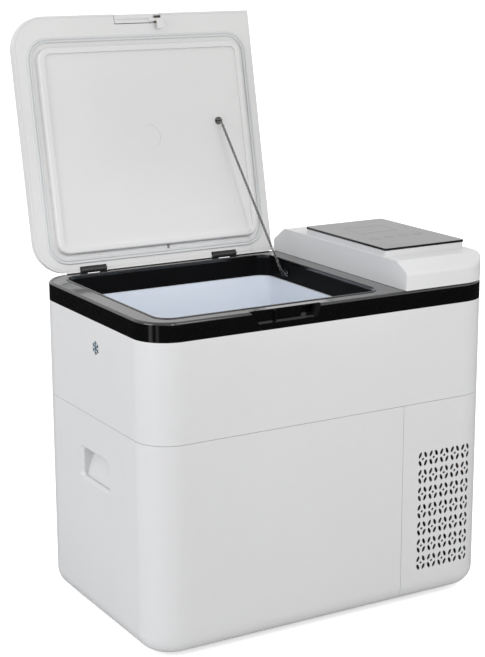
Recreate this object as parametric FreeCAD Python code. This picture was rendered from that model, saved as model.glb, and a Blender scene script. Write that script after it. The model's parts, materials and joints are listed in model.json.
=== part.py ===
import FreeCAD
import Part
import math
import os

# A portable compressor cooler fridge with a hinged lid, shown open.
# Millimetres. Origin at the centre of the base ring's lower face: +X along the long side
# towards the compressor end, -Y is the front, +Z is up.

V = FreeCAD.Vector

# ---------------------------------------------------------------- casing
LENGTH = 570.0
DEPTH = 366.0
CORNER_R = 50.0
WALL = 3.0
BASE_Z = 6.0
BASE_EDGE_R = 28.0
SEAM_Z = 314.0
SEAM_GAP = 0.6
RIM_BOTTOM_Z = 457.5
RIM_TOP_Z = 485.0
RIM_PLATE = 3.5
RIM_EDGE_R = 4.0
COVER_SEAM_X = 127.0
X0, X1 = -LENGTH / 2, LENGTH / 2
Y0, Y1 = -DEPTH / 2, DEPTH / 2

# ---------------------------------------------------------------- well
WELL_X0, WELL_X1 = -254.0, 98.0
WELL_Y0, WELL_Y1 = -158.0, 158.0
WELL_R = 22.0
COLLAR_BOTTOM_Z = 453.0
COLLAR_WALL = 3.0
LINER_INSET = 4.0
LINER_WALL = 2.0
LINER_FLOOR_Z = 72.0
LINER_FLOOR_R = 18.0
LAMP_X, LAMP_Z = -164.0, 415.0
PROBE_Y, PROBE_Z = -60.0, 210.0
EVAPORATOR_Z0, EVAPORATOR_Z1 = 120.0, 380.0

# ---------------------------------------------------------------- lid (drawn closed, then opened)
LID_OPEN_DEG = 101.5
HINGE_POCKET_Y = Y1 - 13.0
HINGE_POCKET_DEEP = 6.0
UPSTAND_Y0, UPSTAND_Y1 = Y1 - 7.6, Y1 - 4.1
UPSTAND = 1.2
LID_X0, LID_X1 = X0, 122.0
LID_Y0, LID_Y1 = Y0 - 20.0, Y1
LID_GAP = 3.0
LID_FLANGE_Z = RIM_TOP_Z + LID_GAP
LID_TOP_Z = LID_FLANGE_Z + 32.0
LID_WALL = 3.0
LID_TOP_R = 22.0
LID_PLATE = 2.5
PLUG_GAP = 3.0
PLUG_DEPTH = 7.0
PLUG_BORDER = 9.0
PLUG_Z = LID_FLANGE_Z - LID_GAP - PLUG_DEPTH
PANEL_Z = PLUG_Z + 2.5
PORT_X, PORT_Y, PORT_R = -80.0, -12.0, 19.0
GASKET_IN, GASKET_OUT = 4.5, 12.5
HINGE_Y, HINGE_Z = Y1 - 2.0, LID_FLANGE_Z
HINGE_XS = (-195.0, 33.0)
HINGE_WIDTH = 42.0
BARREL_R = 4.6
PIN_R = 2.0
RUNNING = 0.05

# ---------------------------------------------------------------- stay chain
LID_EYE_X, LID_EYE_Y = 44.0, -30.0
RIM_EYE_Y, RIM_EYE_Z = 96.0, 466.0
EYE_R, EYE_WIRE_R = 3.4, 0.9
EYE_CLEARANCE = 5.0
LINK_PITCH = 7.4

# ---------------------------------------------------------------- latch
LATCH_X0, LATCH_X1 = -114.5, -49.5
LATCH_PIN_Y, LATCH_PIN_Z = LID_Y0 + 7.5, LID_FLANGE_Z + 12.0
LATCH_PIN_R = 1.5
LATCH_BARREL_R = 4.3
LATCH_NOTCH_BACK = LID_Y0 + 15.5
LATCH_PLATE = 2.5
HOOK_X0, HOOK_X1 = -46.0, -36.0
HOOK_LOW_Z = RIM_TOP_Z - 6.0

# ---------------------------------------------------------------- control housing
HOUSING_X0 = 127.0
HOUSING_TOP_Z = 525.0
HOUSING_EDGE_R = 8.0
FRONT_CREASE_Z, BROW_FRONT = 510.5, 26.0
REAR_CREASE_Z, BROW_REAR = 503.0, 32.0
HOUSING_WALL = 2.5
PLINTH_X0, PLINTH_X1 = 128.5, 271.0
PLINTH_Y0, PLINTH_Y1 = -127.0, 88.0
PLINTH_TOP_Z = 534.6
PANEL_THICK = 3.4

# ---------------------------------------------------------------- handles
HANDLE_Y0, HANDLE_Y1 = -50.0, 50.0
HANDLE_Z0, HANDLE_Z1 = 209.0, 262.0
HANDLE_DEPTH = 24.0
HANDLE_WALL = 2.0
HANDLE_CORNER_R = 13.0
HANDLE_LIP = 5.0
HANDLE_FLOOR_DEPTH = 7.0

# ---------------------------------------------------------------- front vent
VENT_X0, VENT_Z0 = 163.5, 64.0
VENT_PITCH_X, VENT_PITCH_Z = 19.6, 27.2
VENT_COLUMNS, VENT_ROWS = 5, 7
VENT_SKIN = 1.2
PETAL_LONG, PETAL_SHORT, PETAL_DEG = 4.9, 2.45, 65.0
VENT_DIAMOND = 3.6

# ---------------------------------------------------------------- machinery
COMPRESSOR_X, COMPRESSOR_Y = 200.0, 62.0
COMPRESSOR_R = 52.0
FAN_X, FAN_Z = 196.0, 145.0
FAN_SIZE = 120.0
FAN_Y0, FAN_Y1 = -150.0, -125.0
BULKHEAD_X = 118.0
COIL_X0, COIL_X1 = 138.0, 238.0

NODES = {}


# ---------------------------------------------------------------- helpers
def outline(x0, x1, y0, y1, r_left, r_right, z):
    """Face of a rectangle with round corners, at height z."""
    def arc(cx, cy, r, start):
        points = []
        for step in (0.0, 45.0, 90.0):
            a = math.radians(start + step)
            points.append(V(cx + r * math.cos(a), cy + r * math.sin(a), z))
        return points

    corners = (
        arc(x1 - r_right, y1 - r_right, r_right, 0),
        arc(x0 + r_left, y1 - r_left, r_left, 90),
        arc(x0 + r_left, y0 + r_left, r_left, 180),
        arc(x1 - r_right, y0 + r_right, r_right, 270),
    )
    edges = []
    for i, corner in enumerate(corners):
        edges.append(Part.Arc(*corner).toShape())
        edges.append(Part.LineSegment(corner[2], corners[(i + 1) % 4][0]).toShape())
    return Part.Face(Part.Wire(edges))


def prism(x0, x1, y0, y1, z0, z1, r_left, r_right=None):
    """Upright block with round vertical corners."""
    r_right = r_left if r_right is None else r_right
    return outline(x0, x1, y0, y1, r_left, r_right, z0).extrude(V(0, 0, z1 - z0))


def box(x0, x1, y0, y1, z0, z1):
    return Part.makeBox(x1 - x0, y1 - y0, z1 - z0, V(x0, y0, z0))


def rod(p0, p1, r):
    """Round bar from p0 to p1."""
    start, end = V(*p0), V(*p1)
    return Part.makeCylinder(r, (end - start).Length, start, end - start)


def soften(solid, radius, z):
    """Round every edge that lies at height z."""
    edges = [e for e in solid.Edges if abs(e.BoundBox.ZMin - z) < 1e-4 and abs(e.BoundBox.ZMax - z) < 1e-4]
    return solid.makeFillet(radius, edges)


def body_block(inset, z0, z1):
    """Block of the casing's plan outline, moved in by inset."""
    return prism(X0 + inset, X1 - inset, Y0 + inset, Y1 - inset, z0, z1, CORNER_R - inset)


def well_block(grow, z0, z1):
    """Block of the well's plan outline, grown outwards."""
    return prism(WELL_X0 - grow, WELL_X1 + grow, WELL_Y0 - grow, WELL_Y1 + grow, z0, z1, WELL_R + grow)


def tube_path(points, radius, bend):
    """Solid round tube along straight runs joined by tangent arcs."""
    pts = [V(*p) for p in points]
    edges = []
    here = pts[0]
    for before, at, after in zip(pts, pts[1:], pts[2:]):
        u = (before - at).normalize()
        w = (after - at).normalize()
        half = math.acos(max(-1, min(1, u.dot(w)))) / 2
        run = bend / math.tan(half)
        a, b = at + u * run, at + w * run
        middle = at + (u + w).normalize() * (bend / math.sin(half) - bend)
        edges.append(Part.LineSegment(here, a).toShape())
        edges.append(Part.Arc(a, middle, b).toShape())
        here = b
    edges.append(Part.LineSegment(here, pts[-1]).toShape())
    path = Part.Wire(edges)
    section = Part.Wire(Part.makeCircle(radius, pts[0], pts[1] - pts[0]))
    return path.makePipeShell([section], True, False)


def mirrored(shape):
    """The same piece at the other end."""
    return shape.mirror(V(0, 0, 0), V(1, 0, 0))


def opened(shape):
    """Turn a piece of the lid from closed to open."""
    moved = shape.copy()
    moved.rotate(V(0, HINGE_Y, HINGE_Z), V(1, 0, 0), -LID_OPEN_DEG)
    return moved


def keep(name, shape):
    NODES[name] = shape


# ---------------------------------------------------------------- fasteners
def screw(x, y, z, direction, head_r=3.6, shank_r=1.5, length=9.0):
    """Pan-head screw whose head rests on the surface at (x, y, z); direction points inwards."""
    d = V(*direction)
    head = Part.makeCylinder(head_r, 1.6, V(x, y, z) - d * 1.6, d)
    slot = Part.makeBox(head_r * 1.2, 0.8, 0.8, V(-head_r * 0.6, -0.4, -0.4))
    slot.Placement = FreeCAD.Placement(V(x, y, z) - d * 1.6, FreeCAD.Rotation(V(0, 0, 1), d))
    return head.fuse(Part.makeCylinder(shank_r, length, V(x, y, z), d)).cut(slot)


def case_screws():
    spots = [(x, y) for x in (-200, 60, 160, 215) for y in (-112, 112)]
    return Part.makeCompound([screw(x, y, BASE_Z, (0, 0, 1), length=3.3) for x, y in spots])


# ---------------------------------------------------------------- handles
def mouth(x, inset, radius):
    """Round-cornered outline of the grip's mouth, in the plane of the left end at x."""
    y0, y1 = HANDLE_Y0 + inset, HANDLE_Y1 - inset
    z0, z1 = HANDLE_Z0 + inset, HANDLE_Z1 - inset
    face = outline(-z1, -z0, y0, y1, radius, radius, 0)
    face.rotate(V(0, 0, 0), V(0, 1, 0), 90)
    face.translate(V(x, 0, 0))
    return face.OuterWire


def handle_window():
    """Round-cornered block through the left end's wall."""
    return Part.Face(mouth(X0 - 1, 0, HANDLE_CORNER_R)).extrude(V(WALL + 1, 0, 0))


def handle_pocket():
    """Moulded grip pocket: wide lip, sloped back wall, and a finger space behind its upper edge."""
    deep = X0 + HANDLE_DEPTH
    wide, narrow = mouth(X0 - 1, -1, HANDLE_CORNER_R + 1), mouth(X0 + HANDLE_LIP, HANDLE_LIP, 8)
    lip = Part.makeLoft([wide, narrow], True)
    throat = Part.Face(mouth(X0 + HANDLE_LIP - 0.1, HANDLE_LIP, 8))
    straight = throat.extrude(V(HANDLE_DEPTH - HANDLE_LIP, 0, 0))
    side = HANDLE_LIP + 3
    hook = box(X0 + 10, deep, HANDLE_Y0 + side, HANDLE_Y1 - side, HANDLE_Z1 - 20, HANDLE_Z1 + 8)
    back = Part.Face(Part.makePolygon([
        V(X0 + HANDLE_FLOOR_DEPTH, HANDLE_Y0 - 9, HANDLE_Z0), V(deep, HANDLE_Y0 - 9, HANDLE_Z1 - 6),
        V(deep + 9, HANDLE_Y0 - 9, HANDLE_Z1 - 6), V(deep + 9, HANDLE_Y0 - 9, HANDLE_Z0 - 9),
        V(X0 + HANDLE_FLOOR_DEPTH, HANDLE_Y0 - 9, HANDLE_Z0 - 9),
        V(X0 + HANDLE_FLOOR_DEPTH, HANDLE_Y0 - 9, HANDLE_Z0),
    ])).extrude(V(0, HANDLE_Y1 - HANDLE_Y0 + 18, 0))
    cavity = lip.fuse([straight.common(box(X0, deep, Y0, Y1, 0, RIM_TOP_Z)), hook]).cut(back)
    outer = box(X0 + WALL, deep + HANDLE_WALL, HANDLE_Y0 - 4, HANDLE_Y1 + 4, HANDLE_Z0 - 4, HANDLE_Z1 + 11)
    sleeve = Part.Face(mouth(X0 + 0.2, 0.1, HANDLE_CORNER_R)).extrude(V(WALL, 0, 0))
    return outer.fuse(sleeve).cut(cavity).removeSplitter()


# ---------------------------------------------------------------- front vent
def petal(cx, cz, angle):
    """Long oval through-hole in the front wall."""
    oval = Part.Ellipse(V(0, 0, 0), PETAL_LONG, PETAL_SHORT).toShape()
    face = Part.Face(Part.Wire(oval))
    solid = face.extrude(V(0, 0, 3 * WALL))
    turn = FreeCAD.Rotation(V(1, 0, 0), 90).multiply(FreeCAD.Rotation(V(0, 0, 1), angle))
    solid.Placement = FreeCAD.Placement(V(cx, Y0 + 2 * WALL, cz), turn)
    return solid


def front_vent_holes():
    """Petals and diamonds, with the wall thinned behind them."""
    holes = []
    half_x, half_z = VENT_PITCH_X / 4, VENT_PITCH_Z / 4.3
    diamond = VENT_DIAMOND / 2
    for column in range(VENT_COLUMNS):
        for row in range(VENT_ROWS):
            cx = VENT_X0 + column * VENT_PITCH_X
            cz = VENT_Z0 + row * VENT_PITCH_Z
            for sx, sz in ((-1, 1), (1, 1), (-1, -1), (1, -1)):
                angle = PETAL_DEG if sx * sz < 0 else -PETAL_DEG
                holes.append(petal(cx + sx * half_x, cz + sz * half_z, angle))
            centre = box(-diamond, diamond, -3 * WALL, 3 * WALL, -diamond, diamond)
            centre.Placement = FreeCAD.Placement(V(cx, Y0, cz), FreeCAD.Rotation(V(0, 1, 0), 45))
            holes.append(centre)
    right = VENT_X0 + VENT_COLUMNS * VENT_PITCH_X - 8
    top = VENT_Z0 + VENT_ROWS * VENT_PITCH_Z - 10
    low = VENT_Z0 - 16
    holes.append(body_block(VENT_SKIN, low, top).common(box(VENT_X0 - 12, right, Y0, Y0 + 12, low, top)))
    return holes


def slots(along_y, fixed, start, count, pitch, low, high):
    """Upright vent slots in the right end or the rear wall."""
    cuts = []
    for i in range(count):
        a = start + i * pitch
        if along_y:
            cuts.append(box(fixed - 2 * WALL, fixed + 1, a - 2.2, a + 2.2, low, high))
        else:
            cuts.append(box(a - 2.2, a + 2.2, fixed - 2 * WALL, fixed + 1, low, high))
    return cuts


# ---------------------------------------------------------------- casing
def casing():
    screws = case_screws()
    pocket = handle_pocket()
    outer = soften(body_block(0, BASE_Z, SEAM_Z), BASE_EDGE_R, BASE_Z)
    inner = soften(body_block(WALL, BASE_Z + WALL, SEAM_Z + 1), BASE_EDGE_R - WALL, BASE_Z + WALL)
    shell = outer.cut(inner)
    lip = body_block(WALL, SEAM_Z - 6, SEAM_Z + 6).cut(body_block(WALL + 1.8, SEAM_Z - 7, SEAM_Z + 7))
    shell = shell.fuse(lip)
    left = box(X0 - 1, COVER_SEAM_X - SEAM_GAP / 2, Y0 - 1, Y1 + 1, 0, SEAM_Z + 8)
    right = box(COVER_SEAM_X + SEAM_GAP / 2, X1 + 1, Y0 - 1, Y1 + 1, 0, SEAM_Z + 8)
    lower = shell.common(left).cut(handle_window()).cut(screws)
    keep("lower_shell", lower.removeSplitter())

    cover = shell.common(right).cut(mirrored(handle_window())).cut(screws)
    cover = cover.cut(front_vent_holes())
    cover = cover.cut(slots(True, X1, -66, 12, 12, 70, 150))
    cover = cover.cut(slots(False, Y1, 150, 8, 12, 120, 200))
    cover = cover.cut(box(183, 217, Y1 - 2 * WALL, Y1 + 1, 68, 92))
    cover = cover.cut(rod((240, Y1 + 1, 80), (240, Y1 - 8, 80), 8.1))
    keep("compressor_cover", cover)

    upper = body_block(0, SEAM_Z + SEAM_GAP, RIM_BOTTOM_Z).cut(body_block(WALL, SEAM_Z, RIM_BOTTOM_Z + 1))
    keep("upper_shell", upper)
    keep("handle_pocket_left", pocket)
    keep("handle_pocket_right", mirrored(pocket))
    keep("case_screws", screws)

    ring = prism(X0 + 45, X1 - 45, Y0 + 45, Y1 - 45, 0, BASE_Z, 24).cut(
        prism(X0 + 59, X1 - 59, Y0 + 59, Y1 - 59, -1, BASE_Z + 1, 10)
    )
    keep("base_ring", ring.cut(screws))
    keep("bulkhead", box(BULKHEAD_X, BULKHEAD_X + 2, Y0 + 10, Y1 - 10, BASE_Z + 30, 448))


# ---------------------------------------------------------------- rim
def rim():
    frame = soften(body_block(0, RIM_BOTTOM_Z, RIM_TOP_Z), RIM_EDGE_R, RIM_TOP_Z)
    hollow = body_block(WALL, RIM_BOTTOM_Z - 1, RIM_TOP_Z - RIM_PLATE)
    half = HINGE_WIDTH / 2 + 2
    pocket_z = RIM_TOP_Z - HINGE_POCKET_DEEP
    kept = [
        box(x - half - 3, x + half + 3, HINGE_POCKET_Y - 3, Y1, pocket_z - RIM_PLATE, RIM_TOP_Z)
        for x in HINGE_XS
    ]
    boss = box(-138, -10, Y0 + 2, WELL_Y0 - COLLAR_WALL - 0.5, RIM_BOTTOM_Z + 1, RIM_TOP_Z - 1)
    frame = frame.cut(hollow.cut(kept + [boss])).cut(well_block(0, COLLAR_BOTTOM_Z - 1, RIM_TOP_Z + 1))
    upstand = box(WELL_X0 + 14, HOUSING_X0 - 13, UPSTAND_Y0, UPSTAND_Y1, RIM_TOP_Z - 1, RIM_TOP_Z + UPSTAND)
    frame = frame.fuse(upstand)
    pockets = [box(x - half, x + half, HINGE_POCKET_Y, Y1 + 1, pocket_z, RIM_TOP_Z + 3) for x in HINGE_XS]
    frame = frame.cut(pockets)

    recess_face = Part.Face(Part.makePolygon([
        V(-132, Y0 - 1, RIM_TOP_Z + 1), V(-17, Y0 - 1, RIM_TOP_Z + 1),
        V(-24, Y0 - 1, RIM_TOP_Z - 18), V(-118, Y0 - 1, RIM_TOP_Z - 18), V(-132, Y0 - 1, RIM_TOP_Z + 1),
    ]))
    recess = recess_face.extrude(V(0, 7, 0))
    rib = box(-91, -89, Y0 + 2, Y0 + 7, RIM_TOP_Z - 19, RIM_TOP_Z - 2)
    catch = box(-47, -28, Y0, Y0 + 15, RIM_TOP_Z - 17, RIM_TOP_Z - 2)
    frame = frame.cut(recess).fuse(rib).cut(catch)
    frame = frame.cut(rod((190, 100, RIM_TOP_Z - 10), (190, 100, RIM_TOP_Z + 5), 9))
    keep("top_rim", frame.removeSplitter())
    collar = well_block(COLLAR_WALL, COLLAR_BOTTOM_Z, RIM_TOP_Z - RIM_PLATE)
    keep("well_collar", collar.cut(well_block(0, COLLAR_BOTTOM_Z - 1, RIM_TOP_Z + 1)))
    bead = well_block(4.2, RIM_TOP_Z, RIM_TOP_Z + 1.3).cut(well_block(1.2, RIM_TOP_Z - 1, RIM_TOP_Z + 2))
    keep("rim_bead", bead)

    foot = box(WELL_X1 - 1.6, WELL_X1, RIM_EYE_Y - 6, RIM_EYE_Y + 6, RIM_EYE_Z - 5, RIM_EYE_Z + 5)
    loop = Part.makeTorus(EYE_R, EYE_WIRE_R, V(WELL_X1 - 5.2, RIM_EYE_Y, RIM_EYE_Z), V(0, 1, 0))
    keep("rim_chain_eye", foot.fuse(loop))
    return V(WELL_X1 - 8.0, RIM_EYE_Y, RIM_EYE_Z)


# ---------------------------------------------------------------- tank
def tank():
    inset = -LINER_INSET
    top = COLLAR_BOTTOM_Z
    under = LINER_FLOOR_Z - LINER_WALL
    outside = soften(well_block(inset + LINER_WALL, under, top), LINER_FLOOR_R + LINER_WALL, under)
    inside = soften(well_block(inset, LINER_FLOOR_Z, top + 1), LINER_FLOOR_R - 0.5, LINER_FLOOR_Z)
    flange = well_block(COLLAR_WALL, top - 2, top)
    liner = outside.fuse(flange).cut(inside)
    keep("inner_liner", liner.cut([lamp_bore(9.0), probe_bore(4.1)]).removeSplitter())

    wall_y = WELL_Y1 - LINER_INSET
    lens = rod((LAMP_X, wall_y + 5, LAMP_Z), (LAMP_X, wall_y - 2, LAMP_Z), 9)
    bezel = rod((LAMP_X, wall_y - 2.4, LAMP_Z), (LAMP_X, wall_y, LAMP_Z), 12)
    bezel = bezel.cut(rod((LAMP_X, wall_y - 3, LAMP_Z), (LAMP_X, wall_y, LAMP_Z), 10))
    keep("interior_lamp", lens.fuse(bezel))
    wall_x = WELL_X1 - LINER_INSET
    keep("temperature_probe", rod((wall_x + 6, PROBE_Y, PROBE_Z), (wall_x - 5, PROBE_Y, PROBE_Z), 4))

    sleeve_in = inset + LINER_WALL
    sleeve = well_block(sleeve_in + 1.4, EVAPORATOR_Z0, EVAPORATOR_Z1)
    sleeve = sleeve.cut(well_block(sleeve_in, EVAPORATOR_Z0 - 1, EVAPORATOR_Z1 + 1))
    channels = []
    for i in range(6):
        z = EVAPORATOR_Z0 + 18 + i * 44
        channels.append(well_block(sleeve_in + 4.4, z, z + 8).cut(well_block(sleeve_in + 1, z - 1, z + 9)))
    keep("evaporator", sleeve.fuse(channels).cut(probe_bore(4.5)))

    foam = prism(X0 + 5.2, X1, Y0 + 5.2, Y1 - 5.2, BASE_Z + 4, COLLAR_BOTTOM_Z - 3, CORNER_R - 5.2)
    foam = soften(foam, BASE_EDGE_R - 3, BASE_Z + 4)
    foam = foam.common(box(X0, BULKHEAD_X - 0.6, Y0, Y1, 0, RIM_TOP_Z))
    foam = foam.cut(well_block(inset + LINER_WALL + 0.2, under - 0.2, RIM_TOP_Z))
    foam = foam.cut(well_block(sleeve_in + 4.8, EVAPORATOR_Z0 - 2, EVAPORATOR_Z1 + 2))
    grip = box(X0, X0 + HANDLE_DEPTH + 3, HANDLE_Y0 - 5, HANDLE_Y1 + 5, HANDLE_Z0 - 5, HANDLE_Z1 + 13)
    keep("insulation_foam", foam.cut([grip, lamp_bore(10.0), probe_bore(5.0)]))


def lamp_bore(radius):
    """Hole for the lamp through the tank's rear wall."""
    return rod((LAMP_X, WELL_Y1 + 6, LAMP_Z), (LAMP_X, WELL_Y1 - 9, LAMP_Z), radius)


def probe_bore(radius):
    """Hole for the temperature probe through the tank's right wall."""
    return rod((WELL_X1 + 8, PROBE_Y, PROBE_Z), (WELL_X1 - 9, PROBE_Y, PROBE_Z), radius)


# ---------------------------------------------------------------- refrigeration
def machinery():
    cx, cy = COMPRESSOR_X, COMPRESSOR_Y
    plate_z = BASE_Z + WALL + 0.5
    plate = box(132, 254, -150, 148, plate_z, plate_z + 2)
    grommets, bolts = [], []
    for sx in (-1, 1):
        for sy in (-1, 1):
            x, y = cx + sx * 46, cy + sy * 46
            ring = rod((x, y, plate_z + 2), (x, y, plate_z + 14), 8)
            grommets.append(ring.cut(rod((x, y, plate_z), (x, y, plate_z + 15), 3.2)))
            shank = rod((x, y, plate_z), (x, y, plate_z + 22), 3.0)
            bolts.append(shank.fuse(rod((x, y, plate_z + 17.5), (x, y, plate_z + 21), 5.5)))
    bolts = Part.makeCompound(bolts)
    foot_z = plate_z + 14
    foot = prism(cx - 56, cx + 56, cy - 56, cy + 56, foot_z, foot_z + 3, 8)
    keep("compressor_foot", foot.cut(bolts))
    keep("grommets", Part.makeCompound(grommets))
    keep("compressor_bolts", bolts)
    keep("machine_plate", plate.cut(bolts))

    z = foot_z + 3
    profile = Part.makePolygon([V(0, 0, z), V(COMPRESSOR_R - 14, 0, z), V(COMPRESSOR_R, 0, z + 16),
                                V(COMPRESSOR_R, 0, z + 74), V(COMPRESSOR_R - 18, 0, z + 100), V(0, 0, z + 106),
                                V(0, 0, z)])
    can = Part.Face(profile).revolve(V(0, 0, z), V(0, 0, 1), 360)
    can.translate(V(cx, cy, 0))
    weld = rod((cx, cy, z + 42), (cx, cy, z + 47), COMPRESSOR_R + 2)
    terminals = box(cx - 16, cx + 16, cy + COMPRESSOR_R - 3, cy + COMPRESSOR_R + 16, z + 22, z + 52)
    can = can.fuse([weld, terminals]).removeSplitter()
    keep("compressor", can)

    fins = [box(COIL_X0 + 3 + i * 4.4, COIL_X0 + 3.5 + i * 4.4, -175, -156, 72, 216) for i in range(22)]
    keep("condenser_fins", Part.makeCompound(fins))
    tube = []
    rows = [86 + i * 23 for i in range(6)]
    for i, z_row in enumerate(rows):
        tube.append(rod((COIL_X0, -166, z_row), (COIL_X1, -166, z_row), 3.0))
        if i:
            x = COIL_X1 if i % 2 else COIL_X0
            bend = Part.makeTorus(11.5, 3.0, V(x, -166, z_row - 11.5), V(0, 1, 0))
            side_x = x if i % 2 else x - 20
            side = box(side_x, side_x + 20, -180, -150, z_row - 30, z_row + 10)
            tube.append(bend.common(side))
    serpentine = tube[0].fuse(tube[1:]).removeSplitter()
    keep("condenser_tube", serpentine)

    # Fan: square frame, spider, shaft and rotor, all on an axis along Y.
    x, z = FAN_X, FAN_Z
    h = FAN_SIZE / 2
    frame = box(x - h, x + h, FAN_Y0, FAN_Y1, z - h, z + h)
    frame = frame.cut(rod((x, FAN_Y0 - 1, z), (x, FAN_Y1 + 1, z), h - 3))
    hub = rod((x, FAN_Y1 - 4, z), (x, FAN_Y1, z), 19)
    struts = []
    for k in range(4):
        strut = box(x + 17, x + h - 1, FAN_Y1 - 4, FAN_Y1, z - 2.5, z + 2.5)
        strut.rotate(V(x, 0, z), V(0, 1, 0), 45 + 90 * k)
        struts.append(strut)
    holes = [rod((x + a * 52.5, FAN_Y0 - 1, z + b * 52.5), (x + a * 52.5, FAN_Y1 + 1, z + b * 52.5), 2.2)
             for a in (-1, 1) for b in (-1, 1)]
    shaft = rod((x, FAN_Y0 + 3, z), (x, FAN_Y1, z), 1.5)
    keep("fan_frame", frame.fuse([hub] + struts).cut(holes).cut(shaft).removeSplitter())
    keep("fan_shaft", shaft)
    rotor = rod((x, FAN_Y0 + 2, z), (x, FAN_Y1 - 5, z), 20)
    blades = []
    for k in range(7):
        blade = box(x - 11, x + 11, -0.8, 0.8, z + 17, z + 53)
        blade.rotate(V(x, 0, z), V(0, 0, 1), 38)
        blade.translate(V(0, (FAN_Y0 + FAN_Y1) / 2 - 1, 0))
        blade.rotate(V(x, 0, z), V(0, 1, 0), 360 * k / 7)
        blades.append(blade)
    swept = rod((x, FAN_Y0 + 2, z), (x, FAN_Y1 - 5, z), 54)
    rotor = rotor.fuse(blades).common(swept).cut(rod((x, FAN_Y0, z), (x, FAN_Y1, z), 1.5 + RUNNING))
    keep("fan_rotor", rotor.removeSplitter())

    keep("filter_drier", rod((150, -60, 60), (150, -60, 150), 9).fuse([
        rod((150, -60, 48), (150, -60, 60), 4), rod((150, -60, 150), (150, -60, 162), 4)]))
    keep("discharge_pipe", tube_path(
        [(cx + 30, cy - 40, 100), (cx + 30, cy - 76, 100), (cx + 66, cy - 100, 140), (cx + 66, -118, 232),
         (cx + 50, -150, 232)], 3.0, 9.0).cut(can))
    keep("suction_pipe", tube_path(
        [(BULKHEAD_X + 2, 100, 250), (146, 100, 250), (146, 122, 190), (146, 122, 110), (158, 96, 100)], 4.0, 9.0))

    board = box(BULKHEAD_X + 2, BULKHEAD_X + 6, -60, 60, 250, 350)
    keep("driver_bracket", board)
    case = box(BULKHEAD_X + 6, BULKHEAD_X + 30, -52, 52, 256, 344)
    sinks = [box(BULKHEAD_X + 30, BULKHEAD_X + 42, -50 + i * 10, -47 + i * 10, 258, 342) for i in range(10)]
    keep("compressor_driver", case.fuse(sinks))


# ---------------------------------------------------------------- electrical
def electrical():
    y = Y1
    flange = box(178, 222, y, y + 2, 63, 97)
    body = box(183, 217, y - 20, y, 68, 92)
    cavity = box(188, 212, y - 14, y + 3, 73, 87)
    pins = [rod((x, y - 14, 80), (x, y - 3, 80), 1.8) for x in (194, 206)]
    keep("dc_inlet", flange.fuse(body).cut(cavity).fuse(pins))
    cap = rod((240, y, 80), (240, y + 5, 80), 11).cut(box(234, 246, y + 3.5, y + 6, 79, 81))
    keep("fuse_holder", cap.fuse(rod((240, y, 80), (240, y - 18, 80), 8)))
    keep("control_cable", tube_path(
        [(BULKHEAD_X + 20, 30, 344), (BULKHEAD_X + 20, 30, 400), (190, 100, 440), (190, 100, 500), (190, 60, 521),
         (190, 50, 521)], 3.0, 14.0))


def housing_crown(inset):
    """Casing outline with a sloped front and rear brow, moved in by inset, over the whole length."""
    top = HOUSING_TOP_Z - inset
    block = body_block(inset, RIM_TOP_Z + 0.4 - inset, top)
    for y_wall, y_crest, crease in ((Y0, Y0 + BROW_FRONT, FRONT_CREASE_Z), (Y1, Y1 - BROW_REAR, REAR_CREASE_Z)):
        outside = y_wall + (1 if y_wall > 0 else -1)
        corners = [V(X0, outside, crease - inset), V(X0, y_crest, top), V(X0, y_crest, top + 9),
                   V(X0, outside, top + 9), V(X0, outside, crease - inset)]
        block = block.cut(Part.Face(Part.makePolygon(corners)).extrude(V(LENGTH, 0, 0)))
    upper_edges = [e for e in block.Edges if e.BoundBox.ZMin > REAR_CREASE_Z - inset - 3]
    return block.makeFillet(HOUSING_EDGE_R - inset, upper_edges)


def control_housing():
    top = housing_crown(0).common(box(HOUSING_X0, X1 + 1, Y0 - 1, Y1 + 1, RIM_TOP_Z, HOUSING_TOP_Z + 1))
    inside = housing_crown(HOUSING_WALL).common(box(HOUSING_X0 + HOUSING_WALL, X1, Y0, Y1, 0, HOUSING_TOP_Z))
    plinth = prism(PLINTH_X0, PLINTH_X1, PLINTH_Y0, PLINTH_Y1, HOUSING_TOP_Z - 1, PLINTH_TOP_Z, 5)
    tray = prism(
        PLINTH_X0 + 4, PLINTH_X1 - 4, PLINTH_Y0 + 4, PLINTH_Y1 - 4, HOUSING_TOP_Z - 5, PLINTH_TOP_Z + 1, 3
    )
    housing = top.fuse(plinth).cut(inside).cut(tray)
    keep("control_housing", housing.removeSplitter())
    panel = prism(PLINTH_X0 - 0.5, PLINTH_X1 + 0.5, PLINTH_Y0 - 0.5, PLINTH_Y1 + 0.5, PLINTH_TOP_Z,
                  PLINTH_TOP_Z + PANEL_THICK, 4)
    keep("touch_panel", panel)
    board_z = PLINTH_TOP_Z - 4.4
    board = box(PLINTH_X0 + 20, PLINTH_X1 - 20, PLINTH_Y0 + 30, PLINTH_Y1 - 30, board_z - 1.6, board_z)
    parts = [box(150, 168, -80 + 40 * i, -62 + 40 * i, board_z, PLINTH_TOP_Z - 1) for i in range(4)]
    keep("display_board", board.fuse(parts))


# ---------------------------------------------------------------- lid
def lid_block(inset, z0, z1, round_top):
    """Block of the lid's outline: round left corners, square right side."""
    block = prism(LID_X0 + inset, LID_X1 + 60, LID_Y0 + inset, LID_Y1 - inset, z0, z1, CORNER_R - inset)
    if round_top:
        block = soften(block, LID_TOP_R - inset, z1)
    return block.common(box(LID_X0, LID_X1 - inset, LID_Y0, LID_Y1, z0 - 1, z1 + 1))


def hinge_notches():
    half = HINGE_WIDTH / 2 + 1
    return [box(x - half, x + half, HINGE_Y - 6, LID_Y1 + 1, LID_FLANGE_Z - 1, HINGE_Z + 6) for x in HINGE_XS]


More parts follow.
